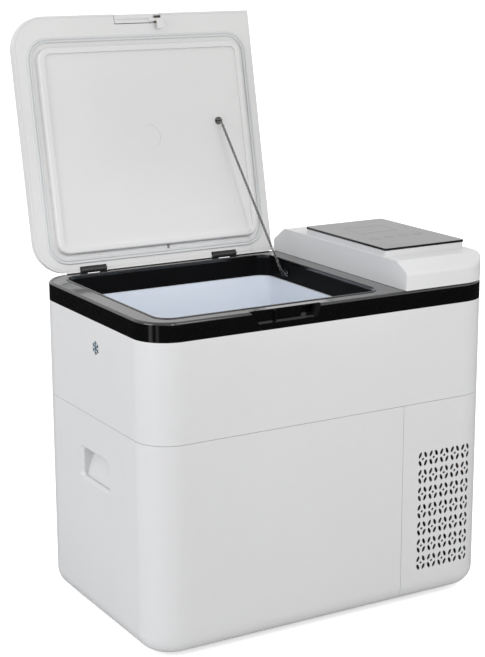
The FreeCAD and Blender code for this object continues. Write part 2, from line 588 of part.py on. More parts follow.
def latch_notches():
    """Room for the lever, and for its hook beside it."""
    lever = box(LATCH_X0 - 1, LATCH_X1 + 1, LID_Y0 - 1, LATCH_NOTCH_BACK, LID_FLANGE_Z - 1, LID_FLANGE_Z + 18)
    hook = box(LATCH_X1, HOOK_X1 + 1.5, LID_Y0 - 1, LATCH_NOTCH_BACK, LID_FLANGE_Z - 1, LID_FLANGE_Z + 5)
    return [lever, hook]


def latch_housing():
    """Cheeks and cover round the lever, inside the lid."""
    x0, x1 = LATCH_X0 - 5, LATCH_X1 + 5
    y0, y1 = LID_Y0 + 2, LATCH_NOTCH_BACK
    low, high = LID_FLANGE_Z + LID_PLATE + 0.2, LID_FLANGE_Z + 18
    parts = [box(x, x + 3.5, y0, y1, low, high) for x in (x0, LATCH_X1 + 1.5)]
    parts.append(box(x0, x1, y0, y1 + 2, high, high + 2))
    parts.append(box(x0, x1, y1, y1 + 2, low, high + 2))
    return parts


def lid():
    notches = hinge_notches() + latch_notches()
    y, z = LATCH_PIN_Y, LATCH_PIN_Z
    pin = rod((LATCH_X0 - 4.5, y, z), (LATCH_X1 + 4.5, y, z), LATCH_PIN_R)
    inner = lid_block(LID_WALL, LID_FLANGE_Z - 1, LID_TOP_Z - LID_WALL, True)
    shell = lid_block(0, LID_FLANGE_Z, LID_TOP_Z, True).cut(inner)
    shell = shell.fuse(latch_housing()).cut(notches).cut(pin)
    keep("lid_shell", opened(shell.removeSplitter()))
    keep("latch_pin", opened(pin))

    plate = lid_block(LID_WALL + 0.2, LID_FLANGE_Z, LID_FLANGE_Z + LID_PLATE, False)
    plug = soften(well_block(-PLUG_GAP, PLUG_Z, LID_FLANGE_Z + 0.5), 3.0, PLUG_Z)
    recess = well_block(-PLUG_GAP - PLUG_BORDER, PLUG_Z - 1, PANEL_Z)
    hollow = well_block(-PLUG_GAP - 3, PANEL_Z + LID_PLATE, LID_FLANGE_Z + 5)
    port = rod((PORT_X, PORT_Y, PLUG_Z - 5), (PORT_X, PORT_Y, LID_FLANGE_Z - 2), PORT_R + 0.2)
    liner = plate.fuse(plug).cut([recess, hollow, port]).cut(notches)
    keep("lid_liner", opened(liner.removeSplitter()))
    disc = rod((PORT_X, PORT_Y, PANEL_Z + 0.3), (PORT_X, PORT_Y, PANEL_Z + LID_PLATE), PORT_R)
    keep("foam_port_plug", opened(disc))

    ring = well_block(GASKET_OUT, RIM_TOP_Z + 0.5, LID_FLANGE_Z)
    keep("lid_gasket", opened(ring.cut(well_block(GASKET_IN, RIM_TOP_Z, LID_FLANGE_Z + 1))))
    foam_top = LID_TOP_Z - LID_WALL
    foam = lid_block(LID_WALL + 1, LID_FLANGE_Z + LID_PLATE + 4.0, foam_top - 1, False)
    foam = foam.common(lid_block(LID_WALL + 1.2, LID_FLANGE_Z, foam_top - 0.6, True))
    clear = [box(x - 24, x + 24, HINGE_Y - 32, LID_Y1 + 1, LID_FLANGE_Z, HINGE_Z + 9) for x in HINGE_XS]
    clear.append(
        box(LATCH_X0 - 7, LATCH_X1 + 22, LID_Y0, LATCH_NOTCH_BACK + 4, LID_FLANGE_Z, LID_FLANGE_Z + 22)
    )
    keep("lid_foam", opened(foam.cut(clear)))
    keep("lid_magnet", opened(box(-65.5, -62.5, 155.2, 161.8, LID_FLANGE_Z - 1.4, LID_FLANGE_Z)))

    eye = V(LID_EYE_X, LID_EYE_Y, PANEL_Z)
    loop = Part.makeTorus(EYE_R, EYE_WIRE_R, eye + V(0, 0, -4.6), V(0, 1, 0))
    foot = rod(eye, eye - V(0, 0, 1.6), 6)
    keep("lid_chain_eye", opened(foot.fuse(loop)))
    return opened(Part.Vertex(eye + V(0, 0, -7.4))).Point


def hinges():
    """Base brackets, pins, and the knuckles that carry the lid."""
    brackets, knuckles, pins = [], [], []
    half = HINGE_WIDTH / 2
    ledge_z = RIM_TOP_Z - HINGE_POCKET_DEEP
    for x in HINGE_XS:
        pin = rod((x - half, HINGE_Y, HINGE_Z), (x + half, HINGE_Y, HINGE_Z), PIN_R)
        parts = [box(x - half, x + half, HINGE_POCKET_Y + 1, Y1 - 1, ledge_z, ledge_z + 1.4)]
        for a, b in ((-half, -half + 10), (half - 10, half)):
            parts.append(rod((x + a, HINGE_Y, HINGE_Z), (x + b, HINGE_Y, HINGE_Z), BARREL_R))
            parts.append(box(x + a, x + b, HINGE_Y - 3, HINGE_Y + 1, ledge_z, HINGE_Z))
        brackets.append(parts[0].fuse(parts[1:]).cut(pin).removeSplitter())
        pins.append(pin)
        k0, k1 = x - half + 10.4, x + half - 10.4
        barrel = rod((k0, HINGE_Y, HINGE_Z), (k1, HINGE_Y, HINGE_Z), BARREL_R)
        low = HINGE_Z + LID_PLATE + 0.1
        leaf = box(k0, k1, HINGE_Y - 28, HINGE_Y, low, low + 2.4)
        bore = rod((x - half, HINGE_Y, HINGE_Z), (x + half, HINGE_Y, HINGE_Z), PIN_R + RUNNING)
        knuckles.append(opened(barrel.fuse(leaf).cut(bore).removeSplitter()))
    keep("hinge_brackets", Part.makeCompound(brackets))
    keep("hinge_pins", Part.makeCompound(pins))
    keep("lid_knuckles", Part.makeCompound(knuckles))


def latch():
    """Lever that lies flush in the lid's underside, with its hook, and the spring on its pin."""
    y, z = LATCH_PIN_Y, LATCH_PIN_Z
    front, back = LID_Y0 + 0.8, LATCH_NOTCH_BACK - 1.2
    x0, x1 = LATCH_X0, LATCH_X1
    barrel = rod((x0, y, z), (x1, y, z), LATCH_BARREL_R)
    plate = box(x0, x1, front, back, LID_FLANGE_Z, LID_FLANGE_Z + LATCH_PLATE)
    wall = box(x0, x1, front, front + 2, LID_FLANGE_Z, z + 2)
    web = box(x0, x1, y - 1.2, y + 1.2, LID_FLANGE_Z, z)
    bridge = box(x0, x1, front, y, z - 1, z + 1.5)
    ridge = box(x0 + 3, x1 - 3, y - 0.6, y + 0.6, LID_FLANGE_Z - 1.2, LID_FLANGE_Z + 1)
    arm = box(x1 - 8, HOOK_X1, y + 0.5, y + 5.0, LID_FLANGE_Z - 2.7, LID_FLANGE_Z - 0.3)
    joint = box(x1 - 8, x1 - 0.2, y + 0.5, y + 5.0, LID_FLANGE_Z - 1, LID_FLANGE_Z + 1)
    tab = box(HOOK_X0, HOOK_X1, y + 2.5, y + 5.0, HOOK_LOW_Z, LID_FLANGE_Z - 0.5)
    nose = box(HOOK_X0, HOOK_X1, y + 2.6, Y0 + 4.5, HOOK_LOW_Z, HOOK_LOW_Z + 3)
    lever = barrel.fuse([plate, wall, web, bridge, ridge, arm, joint, tab, nose])
    lever = lever.cut(rod((x0 - 1, y, z), (x1 + 1, y, z), LATCH_PIN_R + RUNNING))
    spring_room = rod((-90, y, z), (-74, y, z), LATCH_BARREL_R + 0.2)
    lever = lever.cut(spring_room)
    keep("latch_lever", opened(lever.removeSplitter()))

    helix = Part.makeHelix(1.2, 12.0, 2.6)
    wire_section = Part.Wire(Part.makeCircle(0.35, V(2.6, 0, 0), V(0, 1, 0.07)))
    coil = Part.Wire(helix).makePipeShell([wire_section], True, True)
    coil.Placement = FreeCAD.Placement(V(-88, y, z), FreeCAD.Rotation(V(0, 1, 0), 90))
    keep("latch_spring", opened(coil))


# ---------------------------------------------------------------- chain
def chain(lid_tip, rim_tip):
    """Short bars at the pitch of the links, between the two eyes."""
    along = (rim_tip - lid_tip).normalize()
    lid_tip, rim_tip = lid_tip + along * EYE_CLEARANCE, rim_tip - along * EYE_CLEARANCE
    run = rim_tip - lid_tip
    count = int(round(run.Length / LINK_PITCH))
    pitch = run.Length / count
    links = []
    for i in range(count):
        start = lid_tip + along * (i * pitch + 0.3)
        links.append(Part.makeCylinder(1.3, pitch - 0.6, start, along))
    keep("lid_chain", Part.makeCompound(links))


# ---------------------------------------------------------------- emblem
def emblem():
    """Raised six-arm snow crystal on the left end."""
    cy, cz = -15.0, 419.0
    bars = []
    for k in range(6):
        arm = box(X0 - 0.5, X0, cy - 0.8, cy + 0.8, cz, cz + 10)
        for side in (-1, 1):
            twig = box(X0 - 0.5, X0, cy - 0.6, cy + 0.6, cz + 5.6, cz + 9.4)
            twig.rotate(V(0, cy, cz + 5.6), V(1, 0, 0), side * 52)
            arm = arm.fuse(twig)
        arm.rotate(V(0, cy, cz), V(1, 0, 0), 60 * k)
        bars.append(arm)
    keep("snow_emblem", bars[0].fuse(bars[1:]).removeSplitter())


def main():
    casing()
    rim_tip = rim()
    tank()
    machinery()
    electrical()
    control_housing()
    lid_tip = lid()
    hinges()
    latch()
    chain(lid_tip, rim_tip)
    emblem()
    os.makedirs("parts", exist_ok=True)
    for name, shape in NODES.items():
        shape.exportStep("parts/" + name + ".step")
        volume = round(shape.Volume / 1000, 2)
        print(name, "solids", len(shape.Solids), "valid", shape.isValid(), "cm3", volume)
    print("nodes", len(NODES), "lid tip", lid_tip, "rim tip", rim_tip)


main()
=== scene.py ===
"""Portable compressor cooler fridge: finishes, detailed pieces, studio and camera.

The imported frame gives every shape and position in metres: +X runs along the long side
towards the compressor end, -Y is the front and +Z is up.  The lid stands open at rest.
"""
from __future__ import annotations

import json
import logging
import math
from dataclasses import dataclass, field
from enum import Enum
from typing import Callable, Iterable, Sequence

import bmesh
import bpy
from mathutils import Matrix, Vector

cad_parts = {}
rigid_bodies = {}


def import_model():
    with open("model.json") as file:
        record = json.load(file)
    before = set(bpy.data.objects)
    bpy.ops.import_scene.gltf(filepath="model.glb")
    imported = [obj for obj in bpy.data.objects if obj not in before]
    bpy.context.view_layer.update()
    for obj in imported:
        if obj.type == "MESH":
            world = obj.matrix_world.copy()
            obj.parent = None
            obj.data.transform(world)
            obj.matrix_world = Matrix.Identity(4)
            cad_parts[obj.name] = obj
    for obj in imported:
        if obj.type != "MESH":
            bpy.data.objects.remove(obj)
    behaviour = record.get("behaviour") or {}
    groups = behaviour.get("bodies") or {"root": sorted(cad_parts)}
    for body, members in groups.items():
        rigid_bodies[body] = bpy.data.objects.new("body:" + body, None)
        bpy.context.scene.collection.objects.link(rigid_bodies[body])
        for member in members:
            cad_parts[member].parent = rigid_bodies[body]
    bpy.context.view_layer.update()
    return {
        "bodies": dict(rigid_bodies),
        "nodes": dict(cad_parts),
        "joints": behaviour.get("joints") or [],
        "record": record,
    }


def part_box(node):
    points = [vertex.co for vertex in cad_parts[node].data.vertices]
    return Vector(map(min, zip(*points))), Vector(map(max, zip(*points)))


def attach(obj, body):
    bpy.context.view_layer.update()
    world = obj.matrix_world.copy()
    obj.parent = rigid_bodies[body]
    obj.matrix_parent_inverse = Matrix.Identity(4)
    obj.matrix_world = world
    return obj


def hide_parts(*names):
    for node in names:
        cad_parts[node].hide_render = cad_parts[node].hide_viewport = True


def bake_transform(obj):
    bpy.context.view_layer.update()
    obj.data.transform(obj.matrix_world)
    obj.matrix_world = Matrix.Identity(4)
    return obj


LOG = logging.getLogger("fridge")
MM = 0.001

Colour = tuple[float, float, float]
Point = tuple[float, float, float]
Socket = bpy.types.NodeSocket
Sockets = dict[str, Socket]
WHITE: Colour = (1.0, 1.0, 1.0)
SQUARE_CORNERS = ((-1, -1), (1, -1), (1, 1), (-1, 1))


class Body(Enum):
    """Bodies of the frame that pieces ride on."""

    BASE = "base"
    LID = "lid"
    LATCH = "latch"
    FAN = "fan"


class Axis(Enum):
    """Directions that a grain or a brushed finish can run in."""

    X = (0.04, 1.0, 1.0)
    Y = (1.0, 0.04, 1.0)
    Z = (1.0, 1.0, 0.04)


def placed(name: str, data: bpy.types.ID) -> bpy.types.Object:
    """Adds an object to the scene.

    Args:
        name: name of the object.
        data: its mesh, lamp or camera.

    Returns:
        The new object.
    """
    made = bpy.data.objects.new(name, data)
    bpy.context.scene.collection.objects.link(made)
    return made


# ------------------------------------------------------------------ shader wiring
class Wiring:
    """Places nodes in one tree and joins their sockets."""

    def __init__(self, tree: bpy.types.NodeTree) -> None:
        """Starts with an empty tree.

        Args:
            tree: node tree of a material, a world or a group.
        """
        self.tree = tree
        tree.nodes.clear()

    def add(self, kind: str, **settings: object) -> bpy.types.Node:
        """Adds one node.

        Args:
            kind: Blender's identifier of the node.
            settings: properties of the node, set by name.

        Returns:
            The new node.
        """
        node = self.tree.nodes.new(kind)
        for name, value in settings.items():
            setattr(node, name, value)
        return node

    def join(self, source: Socket, target: Socket) -> None:
        """Joins an output to an input."""
        self.tree.links.new(source, target)

    def feed(self, target: Socket, value: object) -> None:
        """Gives an input a plain value, or the output that feeds it."""
        if isinstance(value, Socket):
            self.join(value, target)
        elif isinstance(value, tuple) and len(value) == 3 and target.type == "RGBA":
            target.default_value = (*value, 1.0)
        else:
            target.default_value = value

    def maths(self, operation: str, *values: object, clamp: bool = False) -> Socket:
        """Adds a Math node.

        Args:
            operation: Blender's name of the operation.
            values: numbers or sockets, in order.
            clamp: keeps the result between 0 and 1.

        Returns:
            The result.
        """
        node = self.add("ShaderNodeMath", operation=operation, use_clamp=clamp)
        for socket, value in zip(node.inputs, values):
            self.feed(socket, value)
        return node.outputs[0]

    def blend(self, share: object, first: object, second: object) -> Socket:
        """Mixes two colours.

        Args:
            share: how much of the second colour shows.
            first: colour or socket at share 0.
            second: colour or socket at share 1.

        Returns:
            The mixed colour.
        """
        node = self.add("ShaderNodeMix", data_type="RGBA")
        self.feed(node.inputs[0], share)
        self.feed(node.inputs[6], first)
        self.feed(node.inputs[7], second)
        return node.outputs[2]

    def spread(self, value: object, low: float, high: float, to_low: float,
               to_high: float) -> Socket:
        """Maps a value from one range to another, and holds it inside the new one."""
        node = self.add("ShaderNodeMapRange", clamp=True)
        for socket, number in zip(node.inputs, (value, low, high, to_low, to_high)):
            self.feed(socket, number)
        return node.outputs[0]

    def place(self, stretch: Point = (1.0, 1.0, 1.0)) -> Socket:
        """Coordinates on the piece, in metres.

        Args:
            stretch: scale along each axis.

        Returns:
            The scaled coordinates.
        """
        coordinates = self.add("ShaderNodeTexCoord")
        mapping = self.add("ShaderNodeMapping")
        mapping.inputs["Scale"].default_value = stretch
        self.join(coordinates.outputs["Object"], mapping.inputs["Vector"])
        return mapping.outputs["Vector"]

    def noise(self, where: Socket, scale: object, detail: float = 2.0) -> Socket:
        """Adds soft noise and returns its value."""
        node = self.add("ShaderNodeTexNoise")
        self.join(where, node.inputs["Vector"])
        self.feed(node.inputs["Scale"], scale)
        self.feed(node.inputs["Detail"], detail)
        return node.outputs[0]


class EffectBook:
    """Shader effects that several finishes share, each built once as a node group."""

    def __init__(self) -> None:
        """Starts with no effect built."""
        self._made: dict[str, bpy.types.NodeTree] = {}

    def _group(self, name: str, inputs: dict[str, float], outputs: Sequence[str],
               fill: Callable[[Wiring, Sockets], Sockets]) -> bpy.types.NodeTree:
        """Builds a group the first time it is asked for.

        Args:
            name: name of the effect.
            inputs: input names and their usual values.
            outputs: output names.
            fill: makes the nodes and returns the socket behind each output.

        Returns:
            The finished group.
        """
        if name in self._made:
            return self._made[name]
        tree = bpy.data.node_groups.new(name, "ShaderNodeTree")
        for label, value in inputs.items():
            socket = tree.interface.new_socket(label, in_out="INPUT", socket_type="NodeSocketFloat")
            socket.default_value = value
        for label in outputs:
            tree.interface.new_socket(label, in_out="OUTPUT", socket_type="NodeSocketFloat")
        wires = Wiring(tree)
        entry = wires.add("NodeGroupInput")
        results = fill(wires, {label: entry.outputs[label] for label in inputs})
        leave = wires.add("NodeGroupOutput")
        for label, socket in results.items():
            wires.join(socket, leave.inputs[label])
        self._made[name] = tree
        return tree

    def moulded_grain(self) -> bpy.types.NodeTree:
        """Spark-eroded tool texture with faint sink waves: Height and Roughness."""

        def fill(w: Wiring, put: Sockets) -> Sockets:
            """Joins fine pits and broad waves."""
            where = w.place()
            pits = w.noise(where, scale=put["Grain Scale"], detail=3.0)
            waves = w.noise(where, scale=put["Wave Scale"], detail=1.0)
            height = w.maths("ADD", w.maths("MULTIPLY", pits, put["Grain"]),
                             w.maths("MULTIPLY", waves, put["Wave"]))
            drift = w.maths("SUBTRACT", w.noise(where, scale=14.0, detail=4.0), 0.5)
            rough = w.maths("ADD", put["Roughness"], w.maths("MULTIPLY", drift, put["Drift"]), clamp=True)
            return {"Height": height, "Roughness": rough}

        usual = {"Grain Scale": 1100.0, "Grain": 0.25, "Wave Scale": 9.0, "Wave": 1.0,
                 "Roughness": 0.4, "Drift": 0.1}
        return self._group("Moulded grain", usual, ("Height", "Roughness"), fill)

    def worn_edges(self) -> bpy.types.NodeTree:
        """Mask that is 1 along outer edges, broken up by noise."""

        def fill(w: Wiring, put: Sockets) -> Sockets:
            """Compares the surface's normal with a rounded one."""
            bevel = w.add("ShaderNodeBevel", samples=4)
            w.join(put["Width"], bevel.inputs["Radius"])
            flat = w.add("ShaderNodeNewGeometry")
            dot = w.add("ShaderNodeVectorMath", operation="DOT_PRODUCT")
            w.join(bevel.outputs["Normal"], dot.inputs[0])
            w.join(flat.outputs["Normal"], dot.inputs[1])
            edge = w.spread(dot.outputs["Value"], 0.995, 0.86, 0.0, 1.0)
            broken = w.spread(w.noise(w.place(), scale=160.0, detail=5.0), 0.35, 0.62, 0.3, 1.0)
            mask = w.maths("MULTIPLY", w.maths("MULTIPLY", edge, broken), put["Strength"], clamp=True)
            return {"Mask": mask}

        return self._group("Worn edges", {"Width": 0.0012, "Strength": 0.6}, ("Mask",), fill)

    def settled_dust(self) -> bpy.types.NodeTree:
        """Mask of light dust and finger smears, stronger on faces that look up."""

        def fill(w: Wiring, put: Sockets) -> Sockets:
            """Joins the upward share of the surface with two sizes of noise."""
            geometry = w.add("ShaderNodeNewGeometry")
            parts = w.add("ShaderNodeSeparateXYZ")
            w.join(geometry.outputs["Normal"], parts.inputs[0])
            upward = w.spread(parts.outputs["Z"], -0.2, 1.0, 0.15, 1.0)
            smears = w.spread(w.noise(w.place((1.0, 2.2, 1.0)), scale=22.0, detail=6.0), 0.42, 0.75, 0.0, 1.0)
            specks = w.spread(w.noise(w.place(), scale=620.0, detail=2.0), 0.62, 0.8, 0.0, 0.6)
            both = w.maths("ADD", smears, specks, clamp=True)
            return {"Mask": w.maths("MULTIPLY", w.maths("MULTIPLY", both, upward), put["Amount"], clamp=True)}

        return self._group("Settled dust", {"Amount": 0.3}, ("Mask",), fill)

    def brushed_lines(self, axis: Axis) -> bpy.types.NodeTree:
        """Fine drawn lines along one axis: Height and Roughness."""

        def fill(w: Wiring, put: Sockets) -> Sockets:
            """Stretches noise along the axis."""
            lines = w.noise(w.place(axis.value), scale=put["Line Scale"], detail=3.0)
            stains = w.noise(w.place(), scale=60.0, detail=4.0)
            rough = w.maths("ADD", put["Roughness"],
                            w.maths("MULTIPLY", w.maths("SUBTRACT", stains, 0.5), 0.25), clamp=True)
            return {"Height": lines, "Roughness": rough}

        return self._group(f"Brushed lines {axis.name}", {"Line Scale": 1500.0, "Roughness": 0.3},
                           ("Height", "Roughness"), fill)

    def tone_drift(self) -> bpy.types.NodeTree:
        """Slow change of tone over a big panel, from 0 to 1."""

        def fill(w: Wiring, put: Sockets) -> Sockets:
            """Stacks two slow noises."""
            where = w.place()
            slow = w.noise(where, scale=put["Scale"], detail=2.0)
            mottle = w.noise(where, scale=55.0, detail=5.0)
            joined = w.maths("ADD", w.maths("MULTIPLY", slow, 0.7), w.maths("MULTIPLY", mottle, 0.3))
            return {"Share": w.spread(joined, 0.3, 0.7, 0.0, 1.0)}

        return self._group("Tone drift", {"Scale": 4.0}, ("Share",), fill)


EFFECTS = EffectBook()


# ------------------------------------------------------------------ finishes
@dataclass(frozen=True)
class Finish:
    """One procedural finish, named as its material slot."""

    slot: str
    colour: Colour
    roughness: float = 0.4

    def material(self) -> bpy.types.Material:
        """Builds the material with its shader, and lets the kind of finish wire it.

        Returns:
            The finished material.
        """
        made = bpy.data.materials.new(self.slot)
        made.use_nodes = True
        made.diffuse_color = (*self.colour, 1.0)
        wires = Wiring(made.node_tree)
        shader = wires.add("ShaderNodeBsdfPrincipled")
        output = wires.add("ShaderNodeOutputMaterial")
        wires.join(shader.outputs["BSDF"], output.inputs["Surface"])
        shader.inputs["Base Color"].default_value = (*self.colour, 1.0)
        shader.inputs["Roughness"].default_value = self.roughness
        self.wire(wires, shader)
        return made

    def wire(self, w: Wiring, shader: bpy.types.Node) -> None:
        """Adds the surface detail of this kind of finish."""

    @staticmethod
    def effect(w: Wiring, tree: bpy.types.NodeTree, **values: float) -> bpy.types.Node:
        """Places a shared effect with its own values.

        Args:
            w: wiring of the material.
            tree: the effect's group.
            values: input values, with underscores for the spaces in their names.

        Returns:
            The group node.
        """
        node = w.add("ShaderNodeGroup", node_tree=tree)
        for name, value in values.items():
            node.inputs[name.replace("_", " ").title()].default_value = value
        return node

    @staticmethod
    def relief(w: Wiring, shader: bpy.types.Node, height: Socket, depth: float) -> None:
        """Bumps the surface by a height.

        Args:
            w: wiring of the material.
            shader: the shader whose normal is bumped.
            height: the height from 0 to 1.
            depth: depth of a height of 1, in metres.
        """
        bump = w.add("ShaderNodeBump")
        bump.inputs["Strength"].default_value = 0.6
        bump.inputs["Distance"].default_value = depth
        w.join(height, bump.inputs["Height"])
        w.join(bump.outputs["Normal"], shader.inputs["Normal"])


@dataclass(frozen=True)
class MouldedPlastic(Finish):
    """Injection-moulded plastic with tool texture, tone drift, pale edges and dust."""

    shade: Colour = (0.6, 0.6, 0.6)
    edge: Colour = (0.8, 0.8, 0.8)
    edge_strength: float = 0.4
    grain: float = 0.25
    wave: float = 1.0
    depth: float = 0.00012
    dust: float = 0.1
    dust_colour: Colour = (0.55, 0.53, 0.5)
    ior: float = 1.47
    drift: float = 0.1
    coat: float = 0.0
    coat_roughness: float = 0.06
    specular: float = 0.5

    def wire(self, w: Wiring, shader: bpy.types.Node) -> None:
        """Joins tone, edges and dust in the colour, and grain in the height."""
        shader.inputs["IOR"].default_value = self.ior
        shader.inputs["Specular IOR Level"].default_value = self.specular
        shader.inputs["Coat Weight"].default_value = self.coat
        shader.inputs["Coat Roughness"].default_value = self.coat_roughness
        tone = self.effect(w, EFFECTS.tone_drift(), scale=4.0)
        edges = self.effect(w, EFFECTS.worn_edges(), width=0.0014, strength=self.edge_strength)
        dust = self.effect(w, EFFECTS.settled_dust(), amount=self.dust)
        grain = self.effect(w, EFFECTS.moulded_grain(), grain=self.grain, wave=self.wave,
                            roughness=self.roughness, drift=self.drift)
        base = w.blend(tone.outputs["Share"], self.colour, self.shade)
        worn = w.blend(edges.outputs["Mask"], base, self.edge)
        w.join(w.blend(dust.outputs["Mask"], worn, self.dust_colour), shader.inputs["Base Color"])
        rough = w.maths("ADD", grain.outputs["Roughness"],
                        w.maths("MULTIPLY", dust.outputs["Mask"], 0.35), clamp=True)
        w.join(rough, shader.inputs["Roughness"])
        self.relief(w, shader, grain.outputs["Height"], self.depth)


@dataclass(frozen=True)
class BareMetal(Finish):
    """Drawn or plated metal with fine lines and stains."""

    axis: Axis = Axis.X
    stain: Colour = (0.4, 0.4, 0.4)
    depth: float = 0.00004

    def wire(self, w: Wiring, shader: bpy.types.Node) -> None:
        """Joins stains in the colour and drawn lines in the height."""
        shader.inputs["Metallic"].default_value = 1.0
        lines = self.effect(w, EFFECTS.brushed_lines(self.axis), roughness=self.roughness)
        tone = self.effect(w, EFFECTS.tone_drift(), scale=30.0)
        share = w.maths("MULTIPLY", tone.outputs["Share"], 0.5)
        w.join(w.blend(share, self.colour, self.stain), shader.inputs["Base Color"])
        w.join(lines.outputs["Roughness"], shader.inputs["Roughness"])
        self.relief(w, shader, lines.outputs["Height"], self.depth)


@dataclass(frozen=True)
class PaintedSteel(Finish):
    """Enamel over pressed steel, with orange peel and chipped edges."""

    chip: Colour = (0.2, 0.19, 0.18)
    dust_colour: Colour = (0.22, 0.21, 0.2)
    dusty_roughness: float = 0.8

    def wire(self, w: Wiring, shader: bpy.types.Node) -> None:
        """Joins peel in the height, and chips and dust in the colour."""
        shader.inputs["Coat Weight"].default_value = 0.4
        shader.inputs["Coat Roughness"].default_value = 0.15
        edges = self.effect(w, EFFECTS.worn_edges(), width=0.001, strength=0.7)
        dust = self.effect(w, EFFECTS.settled_dust(), amount=0.5)
        worn = w.blend(edges.outputs["Mask"], self.colour, self.chip)
        w.join(w.blend(dust.outputs["Mask"], worn, self.dust_colour), shader.inputs["Base Color"])
        peel = w.noise(w.place(), scale=420.0, detail=1.0)
        rough = w.spread(dust.outputs["Mask"], 0.0, 1.0, self.roughness, self.dusty_roughness)
        w.join(rough, shader.inputs["Roughness"])
        self.relief(w, shader, peel, 0.0002)


@dataclass(frozen=True)
class PouredFoam(Finish):
    """Rigid polyurethane foam with open cells on its skin."""

    shade: Colour = (0.6, 0.48, 0.28)

    def wire(self, w: Wiring, shader: bpy.types.Node) -> None:
        """Joins cells in the height and the colour."""
        cells = w.add("ShaderNodeTexVoronoi", feature="F1")
        w.join(w.place(), cells.inputs["Vector"])
        cells.inputs["Scale"].default_value = 420.0
        tone = self.effect(w, EFFECTS.tone_drift(), scale=9.0)
        pits = w.spread(cells.outputs["Distance"], 0.0, 0.7, 0.0, 1.0)
        share = w.maths("MULTIPLY", w.maths("ADD", tone.outputs["Share"], pits), 0.4, clamp=True)
        w.join(w.blend(share, self.colour, self.shade), shader.inputs["Base Color"])
        self.relief(w, shader, pits, 0.0006)


@dataclass(frozen=True)
class SoftRubber(Finish):
    """Extruded or moulded rubber with a powdery bloom."""

    bloom: Colour = (0.3, 0.3, 0.3)

    def wire(self, w: Wiring, shader: bpy.types.Node) -> None:
        """Joins bloom in the colour and a fine skin in the height."""
        shader.inputs["IOR"].default_value = 1.4
        dust = self.effect(w, EFFECTS.settled_dust(), amount=0.45)
        grain = self.effect(w, EFFECTS.moulded_grain(), grain=0.6, wave=0.3,
                            roughness=self.roughness, drift=0.15)
        w.join(w.blend(dust.outputs["Mask"], self.colour, self.bloom), shader.inputs["Base Color"])
        w.join(grain.outputs["Roughness"], shader.inputs["Roughness"])
        self.relief(w, shader, grain.outputs["Height"], 0.0002)


@dataclass(frozen=True)
class PanelGlass(Finish):
    """Dark touch glass: a hard clear face over a printed back, with finger smears."""

    smear: Colour = (0.4, 0.4, 0.4)
    smear_share: float = 0.06
    print_lift: float = 1.25

    def wire(self, w: Wiring, shader: bpy.types.Node) -> None:
        """Joins smears in the roughness and a faint print texture in the colour."""
        shader.inputs["IOR"].default_value = 1.52
        shader.inputs["Coat Weight"].default_value = 0.3
        shader.inputs["Coat Roughness"].default_value = 0.08
        dust = self.effect(w, EFFECTS.settled_dust(), amount=0.16)
        tone = self.effect(w, EFFECTS.tone_drift(), scale=12.0)
        lifted = tuple(part * self.print_lift for part in self.colour)
        print_tone = w.blend(tone.outputs["Share"], self.colour, lifted)
        smears = w.maths("MULTIPLY", dust.outputs["Mask"], self.smear_share)
        w.join(w.blend(smears, print_tone, self.smear), shader.inputs["Base Color"])
        w.join(w.spread(dust.outputs["Mask"], 0.0, 0.6, self.roughness, self.roughness + 0.14),
               shader.inputs["Roughness"])


@dataclass(frozen=True)
class FrostedLens(Finish):
    """Moulded light cover, frosted on its inner face."""

    inner: Colour = (0.8, 0.84, 0.88)

    def wire(self, w: Wiring, shader: bpy.types.Node) -> None:
        """Joins frosting in the roughness and prisms in the height."""
        shader.inputs["Transmission Weight"].default_value = 0.6
        shader.inputs["IOR"].default_value = 1.49
        frost = w.noise(w.place(), scale=900.0, detail=3.0)
        rough = w.spread(frost, 0.3, 0.7, self.roughness, self.roughness + 0.2)
        w.join(rough, shader.inputs["Roughness"])
        tone = self.effect(w, EFFECTS.tone_drift(), scale=80.0)
        w.join(w.blend(tone.outputs["Share"], self.colour, self.inner), shader.inputs["Base Color"])
        self.relief(w, shader, frost, 0.0002)


@dataclass(frozen=True)
class CircuitBoard(Finish):
    """Solder mask over copper tracks."""

    track: Colour = (0.1, 0.42, 0.2)

    def wire(self, w: Wiring, shader: bpy.types.Node) -> None:
        """Joins right-angled tracks in the colour and the height."""
        shader.inputs["Coat Weight"].default_value = 0.3
        bricks = w.add("ShaderNodeTexBrick")
        w.join(w.place(), bricks.inputs["Vector"])
        bricks.inputs["Scale"].default_value = 160.0
        bricks.inputs["Mortar Size"].default_value = 0.06
        tone = self.effect(w, EFFECTS.tone_drift(), scale=40.0)
        share = w.maths("MULTIPLY", bricks.outputs["Fac"], tone.outputs["Share"])
        w.join(w.blend(share, self.colour, self.track), shader.inputs["Base Color"])
        w.join(w.spread(share, 0.0, 1.0, self.roughness, self.roughness - 0.15), shader.inputs["Roughness"])
        self.relief(w, shader, share, 0.0001)


